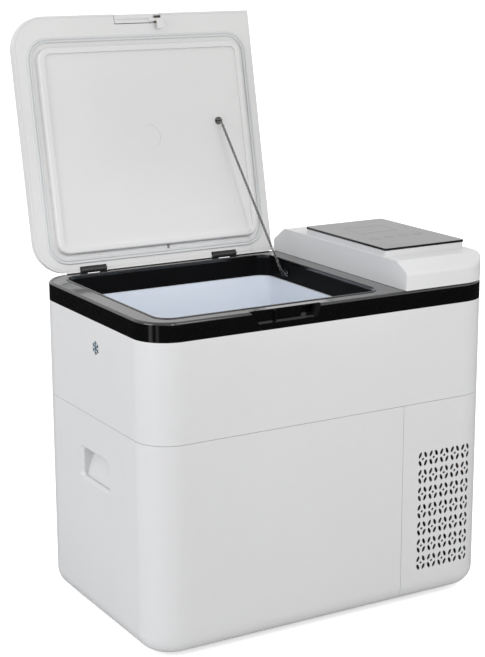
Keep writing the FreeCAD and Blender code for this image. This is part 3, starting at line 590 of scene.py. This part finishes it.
FINISHES: tuple[Finish, ...] = (
    MouldedPlastic("shell_white", (0.69, 0.69, 0.695), 0.36, shade=(0.665, 0.665, 0.672),
                   edge=(0.76, 0.76, 0.765), grain=0.3, wave=0.8, dust=0.06),
    MouldedPlastic("lid_white", (0.70, 0.695, 0.69), 0.38, shade=(0.675, 0.672, 0.67),
                   edge=(0.78, 0.775, 0.77), grain=0.3, wave=0.8, dust=0.05),
    MouldedPlastic("housing_white", (0.70, 0.70, 0.705), 0.34, shade=(0.68, 0.68, 0.688),
                   edge=(0.78, 0.78, 0.785), grain=0.3, wave=0.6, dust=0.06),
    MouldedPlastic("liner_white", (0.75, 0.795, 0.87), 0.3, shade=(0.73, 0.78, 0.86),
                   edge=(0.86, 0.9, 0.95), grain=0.12, wave=0.8, dust=0.02),
    MouldedPlastic("rim_black", (0.0022, 0.0022, 0.0025), 0.12, shade=(0.003, 0.003, 0.0034),
                   edge=(0.03, 0.03, 0.032), edge_strength=0.3, grain=0.02, wave=1.0, depth=0.00008,
                   dust=0.015, dust_colour=(0.08, 0.08, 0.08), ior=1.5, drift=0.05, coat=0.65),
    MouldedPlastic("collar_black", (0.0022, 0.0022, 0.0025), 0.5, shade=(0.003, 0.003, 0.0034),
                   edge=(0.02, 0.02, 0.021), edge_strength=0.3, grain=0.5, wave=0.4,
                   dust=0.03, dust_colour=(0.03, 0.03, 0.03), ior=1.3, specular=0.15),
    MouldedPlastic("black_plastic", (0.012, 0.012, 0.012), 0.45, shade=(0.018, 0.018, 0.018),
                   edge=(0.06, 0.06, 0.06), grain=0.5, wave=0.3, dust=0.25,
                   dust_colour=(0.12, 0.12, 0.12)),
    MouldedPlastic("grey_plastic", (0.2, 0.205, 0.21), 0.5, shade=(0.17, 0.175, 0.18),
                   edge=(0.34, 0.34, 0.34), grain=0.5, wave=0.3, dust=0.3),
    MouldedPlastic("emblem_teal", (0.045, 0.10, 0.14), 0.4, shade=(0.04, 0.09, 0.125),
                   edge=(0.1, 0.18, 0.22), grain=0.2, wave=0.1, dust=0.05),
    PanelGlass("panel_black", (0.012, 0.012, 0.012), 0.2),
    PouredFoam("foam", (0.75, 0.63, 0.38), 0.85),
    SoftRubber("gasket", (0.62, 0.63, 0.635), 0.55, bloom=(0.7, 0.7, 0.7)),
    SoftRubber("black_rubber", (0.015, 0.015, 0.015), 0.65, bloom=(0.12, 0.12, 0.12)),
    BareMetal("steel", (0.52, 0.52, 0.53), 0.32, axis=Axis.X, stain=(0.38, 0.38, 0.38)),
    BareMetal("chain_steel", (0.13, 0.128, 0.125), 0.22, axis=Axis.Z, stain=(0.05, 0.048, 0.045)),
    BareMetal("aluminium", (0.66, 0.67, 0.68), 0.34, axis=Axis.X, stain=(0.5, 0.5, 0.5)),
    BareMetal("copper", (0.6, 0.28, 0.16), 0.3, axis=Axis.X, stain=(0.28, 0.13, 0.08)),
    PaintedSteel("compressor_black", (0.012, 0.012, 0.012), 0.3),
    CircuitBoard("board_green", (0.015, 0.09, 0.04), 0.4),
    FrostedLens("lamp_lens", (0.88, 0.9, 0.92), 0.35),
)


class PaintShop:
    """Holds the finished materials and gives them to nodes and pieces."""

    def __init__(self, finishes: Iterable[Finish]) -> None:
        """Builds each finish once.

        Args:
            finishes: every finish of the object.
        """
        self.materials = {finish.slot: finish.material() for finish in finishes}

    def dress(self, node: bpy.types.Object, slot: str) -> None:
        """Gives every material slot of an object one finish."""
        if not node.material_slots:
            node.data.materials.append(self.materials[slot])
        for holder in node.material_slots:
            holder.material = self.materials[slot]


# ------------------------------------------------------------------ mesh making
def rounded_outline(low: Point, high: Point, radius: float, steps: int) -> list[tuple[Vector, Vector]]:
    """Points round a rectangle with round corners, anticlockwise seen from above.

    Args:
        low: lowest corner; its height is used for every point.
        high: highest corner.
        radius: corner radius.
        steps: segments in each corner.

    Returns:
        Each point with the direction that looks straight out of the outline there.
    """
    points: list[tuple[Vector, Vector]] = []
    centres = ((high[0] - radius, high[1] - radius), (low[0] + radius, high[1] - radius),
               (low[0] + radius, low[1] + radius), (high[0] - radius, low[1] + radius))
    for quarter, (cx, cy) in enumerate(centres):
        for step in range(steps + 1):
            angle = math.radians(90 * quarter + 90 * step / steps)
            out = Vector((math.cos(angle), math.sin(angle), 0.0))
            points.append((Vector((cx, cy, low[2])) + out * radius, out))
    return points


def swept_ring(outline: Sequence[tuple[Vector, Vector]],
               profile: Sequence[tuple[float, float]]) -> bmesh.types.BMesh:
    """Closed ring whose section is swept round an outline.

    Args:
        outline: points and outward directions, as rounded_outline gives them.
        profile: closed section; each point is (distance outwards, height), anticlockwise.

    Returns:
        The ring.
    """
    mesh = bmesh.new()
    loops = []
    for point, out in outline:
        loops.append([mesh.verts.new(point + out * across + Vector((0, 0, up))) for across, up in profile])
    join_loops(mesh, loops)
    return mesh


def join_loops(mesh: bmesh.types.BMesh, loops: Sequence[Sequence[bmesh.types.BMVert]]) -> None:
    """Faces from each loop of points to the next one, and from the last to the first."""
    for index, loop in enumerate(loops):
        following = loops[(index + 1) % len(loops)]
        for k in range(len(loop)):
            n = (k + 1) % len(loop)
            mesh.faces.new((loop[k], following[k], following[n], loop[n]))


def closed_wire(mesh: bmesh.types.BMesh, path: Sequence[Vector], radius: float, sides: int,
                square_on: Vector) -> None:
    """Adds a round wire along a flat closed path.

    Args:
        mesh: mesh that takes the wire.
        path: centre points of the wire.
        radius: radius of the wire.
        sides: sides of its section.
        square_on: direction square to the plane of the path.
    """
    loops = []
    for index in range(len(path)):
        along = (path[(index + 1) % len(path)] - path[index - 1]).normalized()
        across = along.cross(square_on).normalized()
        turns = (2 * math.pi * k / sides for k in range(sides))
        spokes = [across * math.cos(turn) + square_on * math.sin(turn) for turn in turns]
        loops.append([mesh.verts.new(path[index] + spoke * radius) for spoke in spokes])
    join_loops(mesh, loops)


class Workshop:
    """Turns meshes into pieces that ride on the frame's bodies."""

    def __init__(self, frame: dict, paint: PaintShop) -> None:
        """Keeps the frame and the paint shop.

        Args:
            paint: finished materials.
        """
        self.frame = frame
        self.paint = paint
        hinge = next(joint for joint in frame["joints"] if joint["name"] == "lid_hinge")
        self.hinge_point = Vector(hinge["pos_m"])
        self.lid_opening = math.radians(hinge["range_deg"][1])

    def dress(self, slots: dict[str, str]) -> None:
        """Gives frame nodes their finishes.

        Args:
            slots: finish of each node.
        """
        for node, slot in slots.items():
            self.paint.dress(self.frame["nodes"][node], slot)
            LOG.info("dressed %s with %s", node, slot)

    def opened(self) -> Matrix:
        """Matrix that turns a lid piece from closed to its open place."""
        away = Matrix.Translation(self.hinge_point)
        return away @ Matrix.Rotation(-self.lid_opening, 4, "X") @ away.inverted()

    def closed_box(self, node: str) -> tuple[Vector, Vector]:
        """Lowest and highest corner of a lid node, as it lies with the lid shut."""
        thing = self.frame["nodes"][node]
        shut = self.opened().inverted() @ thing.matrix_world
        points = [shut @ vertex.co for vertex in thing.data.vertices]
        return (Vector([min(point[i] for point in points) for i in range(3)]),
                Vector([max(point[i] for point in points) for i in range(3)]))

    def piece(self, name: str, mesh: bmesh.types.BMesh, slot: str, body: Body | None,
              stands_for: Sequence[str] = (), smooth_angle: float = 35.0,
              turn: Matrix | None = None) -> bpy.types.Object:
        """Makes a named piece from a mesh.

        Args:
            name: name of the piece.
            mesh: its shape in the row frame, freed afterwards.
            slot: its finish.
            body: body it rides on, or None to leave it on no body.
            stands_for: frame nodes that it replaces.
            smooth_angle: edges flatter than this, in degrees, are shaded smooth.
            turn: matrix applied to the mesh first.

        Returns:
            The new object.
        """
        if turn is not None:
            bmesh.ops.transform(mesh, matrix=turn, verts=mesh.verts)
        bmesh.ops.recalc_face_normals(mesh, faces=mesh.faces)
        data = bpy.data.meshes.new(name)
        mesh.to_mesh(data)
        mesh.free()
        data.polygons.foreach_set("use_smooth", [True] * len(data.polygons))
        data.set_sharp_from_angle(angle=math.radians(smooth_angle))
        made = placed(name, data)
        self.paint.dress(made, slot)
        if body is not None:
            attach(made, body.value)
        if stands_for:
            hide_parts(*stands_for)
        LOG.info("made %s, %d faces", name, len(data.polygons))
        return made


# ------------------------------------------------------------------ sub-assemblies
@dataclass
class Casing:
    """Moulded outer shells, grips, base and the bay's inner wall."""

    slots: dict[str, str] = field(default_factory=lambda: {
        "lower_shell": "shell_white", "compressor_cover": "shell_white", "upper_shell": "shell_white",
        "handle_pocket_left": "shell_white", "handle_pocket_right": "shell_white",
        "base_ring": "black_rubber", "case_screws": "steel", "bulkhead": "black_plastic",
        "snow_emblem": "emblem_teal"})

    def build(self, shop: Workshop) -> None:
        """Dresses the casing."""
        shop.dress(self.slots)


@dataclass
class RimAndTank:
    """Black top rim, its bead, and the tank that hangs from it."""

    bead_width: float = 3.0 * MM
    bead_corner: float = 24.7 * MM
    bead_foot: float = 0.25
    corner_steps: int = 10
    round_steps: int = 8
    slots: dict[str, str] = field(default_factory=lambda: {
        "top_rim": "rim_black", "well_collar": "collar_black", "rim_bead": "rim_black",
        "rim_chain_eye": "chain_steel", "inner_liner": "liner_white", "interior_lamp": "lamp_lens",
        "temperature_probe": "steel", "evaporator": "aluminium", "insulation_foam": "foam"})

    def build(self, shop: Workshop) -> None:
        """Dresses the rim and tank, and rounds the bead."""
        shop.dress(self.slots)
        self.bead(shop)

    def bead(self, shop: Workshop) -> None:
        """Rounded bead round the mouth of the well."""
        low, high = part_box("rim_bead")
        half, height = self.bead_width / 2, high.z - low.z
        outline = rounded_outline((low.x + half, low.y + half, low.z),
                                  (high.x - half, high.y - half, high.z),
                                  self.bead_corner, self.corner_steps)
        profile = [(-half, 0.0), (half, 0.0)]
        for step in range(self.round_steps + 1):
            angle = math.pi * step / self.round_steps
            rise = self.bead_foot + (1 - self.bead_foot) * math.sin(angle)
            profile.append((math.cos(angle) * half, height * rise))
        shop.piece("rim_bead_rounded", swept_ring(outline, profile), "rim_black", Body.BASE,
                   ("rim_bead",), smooth_angle=60.0)


@dataclass
class Machinery:
    """Compressor, condenser, fan and wiring in the bay."""

    hub_radius: float = 20 * MM
    hub_sides: int = 40
    hub_section: tuple[tuple[float, float], ...] = (
        (0.0, -0.36), (0.55, -0.36), (0.62, -0.44), (0.86, -0.5), (0.97, -0.46), (1.0, -0.38),
        (1.0, 0.5), (0.9, 0.5), (0.9, 0.1), (0.0, 0.1))
    blade_count: int = 9
    blade_half_thickness: float = 0.6 * MM
    blade_sweep: float = 0.34
    blade_root_deg: float = 31
    blade_taper_deg: float = 5
    blade_pitch: float = 0.78
    blade_twist: float = 0.2
    blade_camber: float = 0.1
    root_share: float = 0.98
    tip_radius: float = 53 * MM
    span_steps: int = 8
    chord_steps: int = 6
    slots: dict[str, str] = field(default_factory=lambda: {
        "machine_plate": "steel", "compressor_foot": "compressor_black", "grommets": "black_rubber",
        "compressor_bolts": "steel", "compressor": "compressor_black", "condenser_fins": "aluminium",
        "condenser_tube": "copper", "fan_frame": "black_plastic", "fan_shaft": "steel",
        "fan_rotor": "black_plastic", "filter_drier": "copper", "discharge_pipe": "copper",
        "suction_pipe": "copper", "driver_bracket": "steel", "compressor_driver": "aluminium",
        "dc_inlet": "black_plastic", "fuse_holder": "black_plastic", "control_cable": "black_rubber"})

    def build(self, shop: Workshop) -> None:
        """Dresses the machinery and makes the fan's rotor."""
        shop.dress(self.slots)
        self.rotor(shop)

    def rotor(self, shop: Workshop) -> None:
        """Rotor with twisted, swept blades and a dished hub."""
        low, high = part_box("fan_rotor")
        centre = (low + high) / 2
        depth = high.y - low.y
        mesh = bmesh.new()
        self._hub(mesh, centre, depth)
        for index in range(self.blade_count):
            self._blade(mesh, centre, depth, 2 * math.pi * index / self.blade_count)
        shop.piece("fan_rotor_bladed", mesh, "black_plastic", Body.FAN, ("fan_rotor",), 40.0)

    def _hub(self, mesh: bmesh.types.BMesh, centre: Vector, depth: float) -> None:
        """Adds the dished hub, turned about the Y axis from shares of its radius and depth."""
        rings = []
        for share, along in self.hub_section:
            middle = Vector((centre.x, centre.y + along * depth, centre.z))
            if share == 0.0:
                rings.append([mesh.verts.new(middle)])
                continue
            radius = self.hub_radius * share
            turns = (2 * math.pi * k / self.hub_sides for k in range(self.hub_sides))
            rings.append([mesh.verts.new(middle + Vector((math.cos(turn), 0.0, math.sin(turn))) * radius)
                          for turn in turns])
        for first, second in zip(rings, rings[1:]):
            for k in range(self.hub_sides):
                n = (k + 1) % self.hub_sides
                corners = [first[k % len(first)], first[n % len(first)],
                           second[n % len(second)], second[k % len(second)]]
                unique = list(dict.fromkeys(corners))
                if len(unique) > 2:
                    mesh.faces.new(unique)

    def _blade(self, mesh: bmesh.types.BMesh, centre: Vector, depth: float, start: float) -> None:
        """Adds one blade.

        Args:
            mesh: mesh that takes the blade.
            centre: middle of the rotor.
            depth: length of the rotor along its axis.
            start: angle of the blade's root.
        """
        spans, chords, thick = self.span_steps, self.chord_steps, self.blade_half_thickness
        front: list[list[bmesh.types.BMVert]] = []
        back: list[list[bmesh.types.BMVert]] = []
        for i in range(spans + 1):
            share = i / spans
            radius = self.hub_radius * self.root_share + (self.tip_radius - self.hub_radius) * share
            width = math.radians(self.blade_root_deg - self.blade_taper_deg * share)
            pitch = self.blade_pitch - self.blade_twist * share
            rows: list[list[bmesh.types.BMVert]] = [[], []]
            for j in range(chords + 1):
                across = j / chords - 0.5
                angle = start + self.blade_sweep * share * share + across * width
                rise = depth * (self.blade_camber * math.cos(math.pi * across) - across * pitch)
                for side, row in zip((-thick, thick), rows):
                    row.append(mesh.verts.new((centre.x + radius * math.cos(angle), centre.y + rise + side,
                                               centre.z + radius * math.sin(angle))))
            front.append(rows[0])
            back.append(rows[1])
        for i in range(spans):
            for j in range(chords):
                mesh.faces.new((front[i][j], front[i][j + 1], front[i + 1][j + 1], front[i + 1][j]))
                mesh.faces.new((back[i][j], back[i + 1][j], back[i + 1][j + 1], back[i][j + 1]))
            for j in (0, chords):
                mesh.faces.new((front[i][j], front[i + 1][j], back[i + 1][j], back[i][j]))
        for i in (0, spans):
            for j in range(chords):
                mesh.faces.new((front[i][j], front[i][j + 1], back[i][j + 1], back[i][j]))


@dataclass
class ControlHousing:
    """Raised housing over the compressor bay, with its touch panel."""

    print_lift: float = 0.08 * MM
    line_width: float = 0.6 * MM
    mark_offset: float = 34 * MM
    window_half_size: tuple[float, float] = (34 * MM, 24 * MM)
    ring_count: int = 4
    ring_pitch: float = 26 * MM
    ring_radius: float = 7 * MM
    ring_sides: int = 32
    slots: dict[str, str] = field(default_factory=lambda: {
        "control_housing": "housing_white", "touch_panel": "panel_black", "display_board": "board_green"})

    def build(self, shop: Workshop) -> None:
        """Dresses the housing and panel, and prints the marks on the panel."""
        shop.dress(self.slots)
        self.marks(shop)

    def marks(self, shop: Workshop) -> None:
        """Thin printed marks: a frame round the read-out and a row of plain touch rings."""
        low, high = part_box("touch_panel")
        middle = (low + high) / 2
        wide, deep = self.window_half_size
        outlines = [[middle + Vector((x * wide, y * deep + self.mark_offset, 0.0))
                     for x, y in SQUARE_CORNERS]]
        turns = [2 * math.pi * k / self.ring_sides for k in range(self.ring_sides)]
        for index in range(self.ring_count):
            shift = (index - (self.ring_count - 1) / 2) * self.ring_pitch
            centre = middle + Vector((shift, -self.mark_offset, 0.0))
            outlines.append([centre + Vector((math.cos(turn), math.sin(turn), 0.0)) * self.ring_radius
                             for turn in turns])
        mesh = bmesh.new()
        bottom, top = high.z - self.print_lift, high.z + self.print_lift
        for outer in outlines:
            hub = sum(outer, Vector()) / len(outer)
            inner = [hub + (point - hub) * (1 - self.line_width / (point - hub).length) for point in outer]
            section = ((outer, bottom), (outer, top), (inner, top), (inner, bottom))
            join_loops(mesh, [[mesh.verts.new((point.x, point.y, height)) for point in loop]
                              for loop, height in section])
        shop.piece("panel_marks", mesh, "grey_plastic", Body.BASE)


@dataclass
class Lid:
    """Hinged lid: outer shell, inner liner, gasket, foam and plugs."""

    gasket_width: float = 8.0 * MM
    gasket_corner: float = 30.5 * MM
    rib_half_width: float = 0.46
    rib_foot: float = 0.3
    round_steps: int = 12
    slots: dict[str, str] = field(default_factory=lambda: {
        "lid_shell": "lid_white", "lid_liner": "lid_white", "foam_port_plug": "lid_white",
        "lid_gasket": "gasket", "lid_foam": "foam", "lid_magnet": "grey_plastic",
        "lid_chain_eye": "chain_steel", "hinge_brackets": "black_plastic", "hinge_pins": "steel",
        "lid_knuckles": "black_plastic", "latch_lever": "lid_white", "latch_pin": "steel",
        "latch_spring": "steel"})

    def build(self, shop: Workshop) -> None:
        """Dresses the lid and makes its gasket."""
        shop.dress(self.slots)
        self.gasket(shop)

    def gasket(self, shop: Workshop) -> None:
        """Gasket with two soft round ribs."""
        low, high = shop.closed_box("lid_gasket")
        half, height = self.gasket_width / 2, high.z - low.z
        outline = rounded_outline((low.x + half, low.y + half, high.z),
                                  (high.x - half, high.y - half, high.z),
                                  self.gasket_corner, self.round_steps)
        profile = [(half, 0.0), (-half, 0.0)]
        for centre in (-0.5, 0.5):
            for step in range(1, self.round_steps):
                angle = math.pi * step / self.round_steps
                across = centre - self.rib_half_width * math.cos(angle)
                drop = self.rib_foot + (1 - self.rib_foot) * math.sin(angle)
                profile.append((half * across, -height * drop))
        shop.piece("lid_gasket_ribbed", swept_ring(outline, profile), "gasket", Body.LID,
                   ("lid_gasket",), smooth_angle=50.0, turn=shop.opened())


@dataclass
class StayChain:
    """Fine link chain that holds the lid open."""

    pitch: float = 3.72 * MM
    wire: float = 0.55 * MM
    half_width: float = 1.75 * MM
    lap: float = 0.45 * MM
    wire_sides: int = 8
    bend_steps: int = 6
    end_inset: float = 1.17 * MM
    stiff_share: float = 0.38

    def build(self, shop: Workshop) -> None:
        """Makes the links and lays them in a straight line between the rim and the lid."""
        low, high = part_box("lid_chain")
        rim_end = Vector((high.x - self.end_inset, low.y + self.end_inset, low.z))
        lid_end = Vector((low.x + self.end_inset, high.y - self.end_inset, high.z))
        run = lid_end - rim_end
        count = int(round(run.length / self.pitch))
        along = run.normalized()
        first_side = along.cross(Vector((1.0, 0.0, 0.0))).normalized()
        second_side = along.cross(first_side).normalized()
        mesh = bmesh.new()
        step = run.length / count
        for index in range(count):
            centre = rim_end + along * (index + 0.5) * step
            across, normal = (first_side, second_side) if index % 2 else (second_side, first_side)
            self._link(mesh, centre, along, across, normal, step)
        chain = shop.piece("lid_chain_links", mesh, "chain_steel", None, ("lid_chain",), 60.0)
        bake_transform(chain)

    def _link(self, mesh: bmesh.types.BMesh, centre: Vector, along: Vector, across: Vector,
              normal: Vector, step: float) -> None:
        """Adds one oval link.

        Args:
            mesh: mesh that takes the link.
            centre: middle of the link.
            along: direction of the chain.
            across: direction across the link, in its plane.
            normal: direction square to the link's plane.
            step: pitch of the chain.
        """
        half_straight = step / 2 + self.wire + self.lap - self.half_width
        path = []
        for end in (1, -1):
            for k in range(self.bend_steps + 1):
                angle = math.pi * k / self.bend_steps - math.pi / 2
                path.append(centre + along * end * (half_straight + self.half_width * math.cos(angle))
                            + across * end * self.half_width * math.sin(angle))
        closed_wire(mesh, path, self.wire, self.wire_sides, normal)


# ------------------------------------------------------------------ studio
@dataclass(frozen=True)
class StudioLight:
    """A light on a stand, turned to its aim."""

    name: str
    place: Point
    aim: Point
    power: float

    def set_up(self) -> None:
        """Puts the light in place and turns it to its aim."""
        data = self.lamp()
        data.energy = self.power
        stand = placed(self.name, data)
        stand.location = self.place
        look = Vector(self.aim) - Vector(self.place)
        stand.rotation_euler = look.to_track_quat("-Z", "Y").to_euler()

    def lamp(self) -> bpy.types.Light:
        """Makes the lamp of this kind of light."""
        raise NotImplementedError


@dataclass(frozen=True)
class SoftBox(StudioLight):
    """Square, even light."""

    size: float = 1.6
    colour: Colour = WHITE

    def lamp(self) -> bpy.types.Light:
        """Makes a square area lamp."""
        data = bpy.data.lights.new(self.name, "AREA")
        data.size = self.size
        data.color = self.colour
        return data


@dataclass(frozen=True)
class NarrowSpot(StudioLight):
    """Focused light with a soft edge."""

    cone_deg: float = 8.5
    source_radius: float = 0.12

    def lamp(self) -> bpy.types.Light:
        """Makes a spot lamp that fades towards the edge of its cone."""
        data = bpy.data.lights.new(self.name, "SPOT")
        data.spot_size = math.radians(self.cone_deg)
        data.spot_blend = 1.0
        data.shadow_soft_size = self.source_radius
        return data


@dataclass
class Studio:
    """Pale floor, white surroundings and soft lights."""

    floor_half: float = 30.0
    floor_colour: Colour = (0.97, 0.97, 0.97)
    floor_lift: float = 0.55
    ambient: float = 0.80
    backdrop: float = 1.05
    low_reflection: float = 0.02
    horizon: tuple[float, float] = (-0.06, 0.12)
    reflected_strips: tuple[tuple[float, float, float], ...] = ((-54.0, 3.0, 0.35), (-76.0, 4.0, 0.55))
    lights: tuple[StudioLight, ...] = (
        SoftBox("left_softbox", (-3.0, -0.4, 1.4), (0.0, 0.0, 0.35), 26.0, colour=(0.96, 0.98, 1.0)),
        SoftBox("key_softbox", (0.2, -1.1, 1.25), (0.0, 0.15, 0.55), 2.9, 0.5, (1.0, 0.997, 0.99)),
        SoftBox("right_softbox", (1.8, -2.4, 1.2), (0.0, 0.0, 0.4), 3.0),
        NarrowSpot("lid_spot_left", (-0.45, -2.2, 1.75), (-0.19, 0.19, 0.465), 80.0),
        NarrowSpot("lid_spot_right", (-0.20, -2.2, 1.75), (0.04, 0.19, 0.455), 80.0),
    )

    def build(self) -> None:
        """Sets up the world, floor and lights."""
        self._world()
        self._floor()
        for light in self.lights:
            light.set_up()
        bpy.context.scene.view_settings.view_transform = "Standard"

    def _world(self) -> None:
        """White surroundings, dark below the horizon in reflections but for upright strips.

        A strip is given by its azimuth and half width in degrees and its strength.
        """
        world = bpy.data.worlds.new("studio_surroundings")
        bpy.context.scene.world = world
        world.use_nodes = True
        w = Wiring(world.node_tree)
        direction = w.add("ShaderNodeTexCoord")
        parts = w.add("ShaderNodeSeparateXYZ")
        w.join(direction.outputs["Generated"], parts.inputs[0])
        sky = w.spread(parts.outputs["Z"], *self.horizon, self.low_reflection, 1.0)
        around = w.maths("ARCTAN2", parts.outputs["X"], w.maths("MULTIPLY", parts.outputs["Y"], -1.0))
        mirrored = sky
        for azimuth, half_width, strength in self.reflected_strips:
            away = w.maths("ABSOLUTE", w.maths("SUBTRACT", around, math.radians(azimuth)))
            strip = w.spread(away, math.radians(half_width), math.radians(half_width * 2), strength, 0.0)
            mirrored = w.maths("MAXIMUM", mirrored, strip)
        rays = w.add("ShaderNodeLightPath")
        seen = w.maths("ADD", w.maths("MULTIPLY", rays.outputs["Is Camera Ray"], self.backdrop),
                       w.maths("MULTIPLY", rays.outputs["Is Glossy Ray"], mirrored))
        others = w.maths("SUBTRACT", 1.0, w.maths("ADD", rays.outputs["Is Camera Ray"],
                                                  rays.outputs["Is Glossy Ray"]), clamp=True)
        strength = w.maths("ADD", seen, w.maths("MULTIPLY", others, self.ambient))
        background = w.add("ShaderNodeBackground")
        w.join(strength, background.inputs["Strength"])
        background.inputs["Color"].default_value = (*WHITE, 1.0)
        output = w.add("ShaderNodeOutputWorld")
        w.join(background.outputs["Background"], output.inputs["Surface"])

    def _floor(self) -> None:
        """Plain pale floor under the object, clear when seen from below."""
        mesh = bmesh.new()
        half = self.floor_half
        mesh.faces.new([mesh.verts.new((x * half, y * half, 0.0)) for x, y in SQUARE_CORNERS])
        data = bpy.data.meshes.new("studio_floor")
        mesh.to_mesh(data)
        mesh.free()
        data.materials.append(self._paper())
        floor = placed("studio_floor", data)
        floor.visible_glossy = False

    def _paper(self) -> bpy.types.Material:
        """Matt paper that looks a little brighter to the camera than it is lit."""
        finish = bpy.data.materials.new("studio_paper")
        finish.use_nodes = True
        w = Wiring(finish.node_tree)
        matt = w.add("ShaderNodeBsdfDiffuse")
        matt.inputs["Color"].default_value = (*self.floor_colour, 1.0)
        glow = w.add("ShaderNodeEmission")
        rays = w.add("ShaderNodeLightPath")
        w.join(w.maths("MULTIPLY", rays.outputs["Is Camera Ray"], self.floor_lift), glow.inputs["Strength"])
        above = w.add("ShaderNodeAddShader")
        w.join(matt.outputs["BSDF"], above.inputs[0])
        w.join(glow.outputs["Emission"], above.inputs[1])
        below = w.add("ShaderNodeBsdfTransparent")
        side = w.add("ShaderNodeNewGeometry")
        choice = w.add("ShaderNodeMixShader")
        w.join(side.outputs["Backfacing"], choice.inputs[0])
        w.join(above.outputs["Shader"], choice.inputs[1])
        w.join(below.outputs["BSDF"], choice.inputs[2])
        output = w.add("ShaderNodeOutputMaterial")
        w.join(choice.outputs["Shader"], output.inputs["Surface"])
        return finish


@dataclass(frozen=True)
class ProductCamera:
    """Camera at the object's front left, a little above it."""

    azimuth: float = -30.083
    elevation: float = 13.680
    roll: float = -0.224
    target: Point = (-38.21 * MM, 0.0, 413.15 * MM)
    distance: float = 2.4035
    lens: float = 88.63
    sensor: float = 36.0

    def set_up(self) -> None:
        """Makes the camera the scene's own."""
        data = bpy.data.cameras.new("product_camera")
        data.sensor_fit = "VERTICAL"
        data.sensor_height = self.sensor
        data.sensor_width = self.sensor
        data.lens = self.lens
        data.clip_start, data.clip_end = 0.05, 100.0
        camera = placed("product_camera", data)
        across, up = math.radians(self.azimuth), math.radians(self.elevation)
        back = Vector((math.sin(across) * math.cos(up), -math.cos(across) * math.cos(up), math.sin(up)))
        camera.location = Vector(self.target) + back * self.distance
        turn = (-back).to_track_quat("-Z", "Y").to_matrix().to_4x4()
        camera.rotation_euler = (turn @ Matrix.Rotation(math.radians(self.roll), 4, "Z")).to_euler()
        bpy.context.scene.camera = camera


def main() -> None:
    """Builds the fridge, the studio and the camera."""
    logging.basicConfig(level=logging.INFO, format="%(name)s: %(message)s")
    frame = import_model()
    shop = Workshop(frame, PaintShop(FINISHES))
    for assembly in (Casing(), RimAndTank(), Machinery(), ControlHousing(), Lid(), StayChain()):
        assembly.build(shop)
    Studio().build()
    ProductCamera().set_up()


if __name__ == "__main__":
    main()
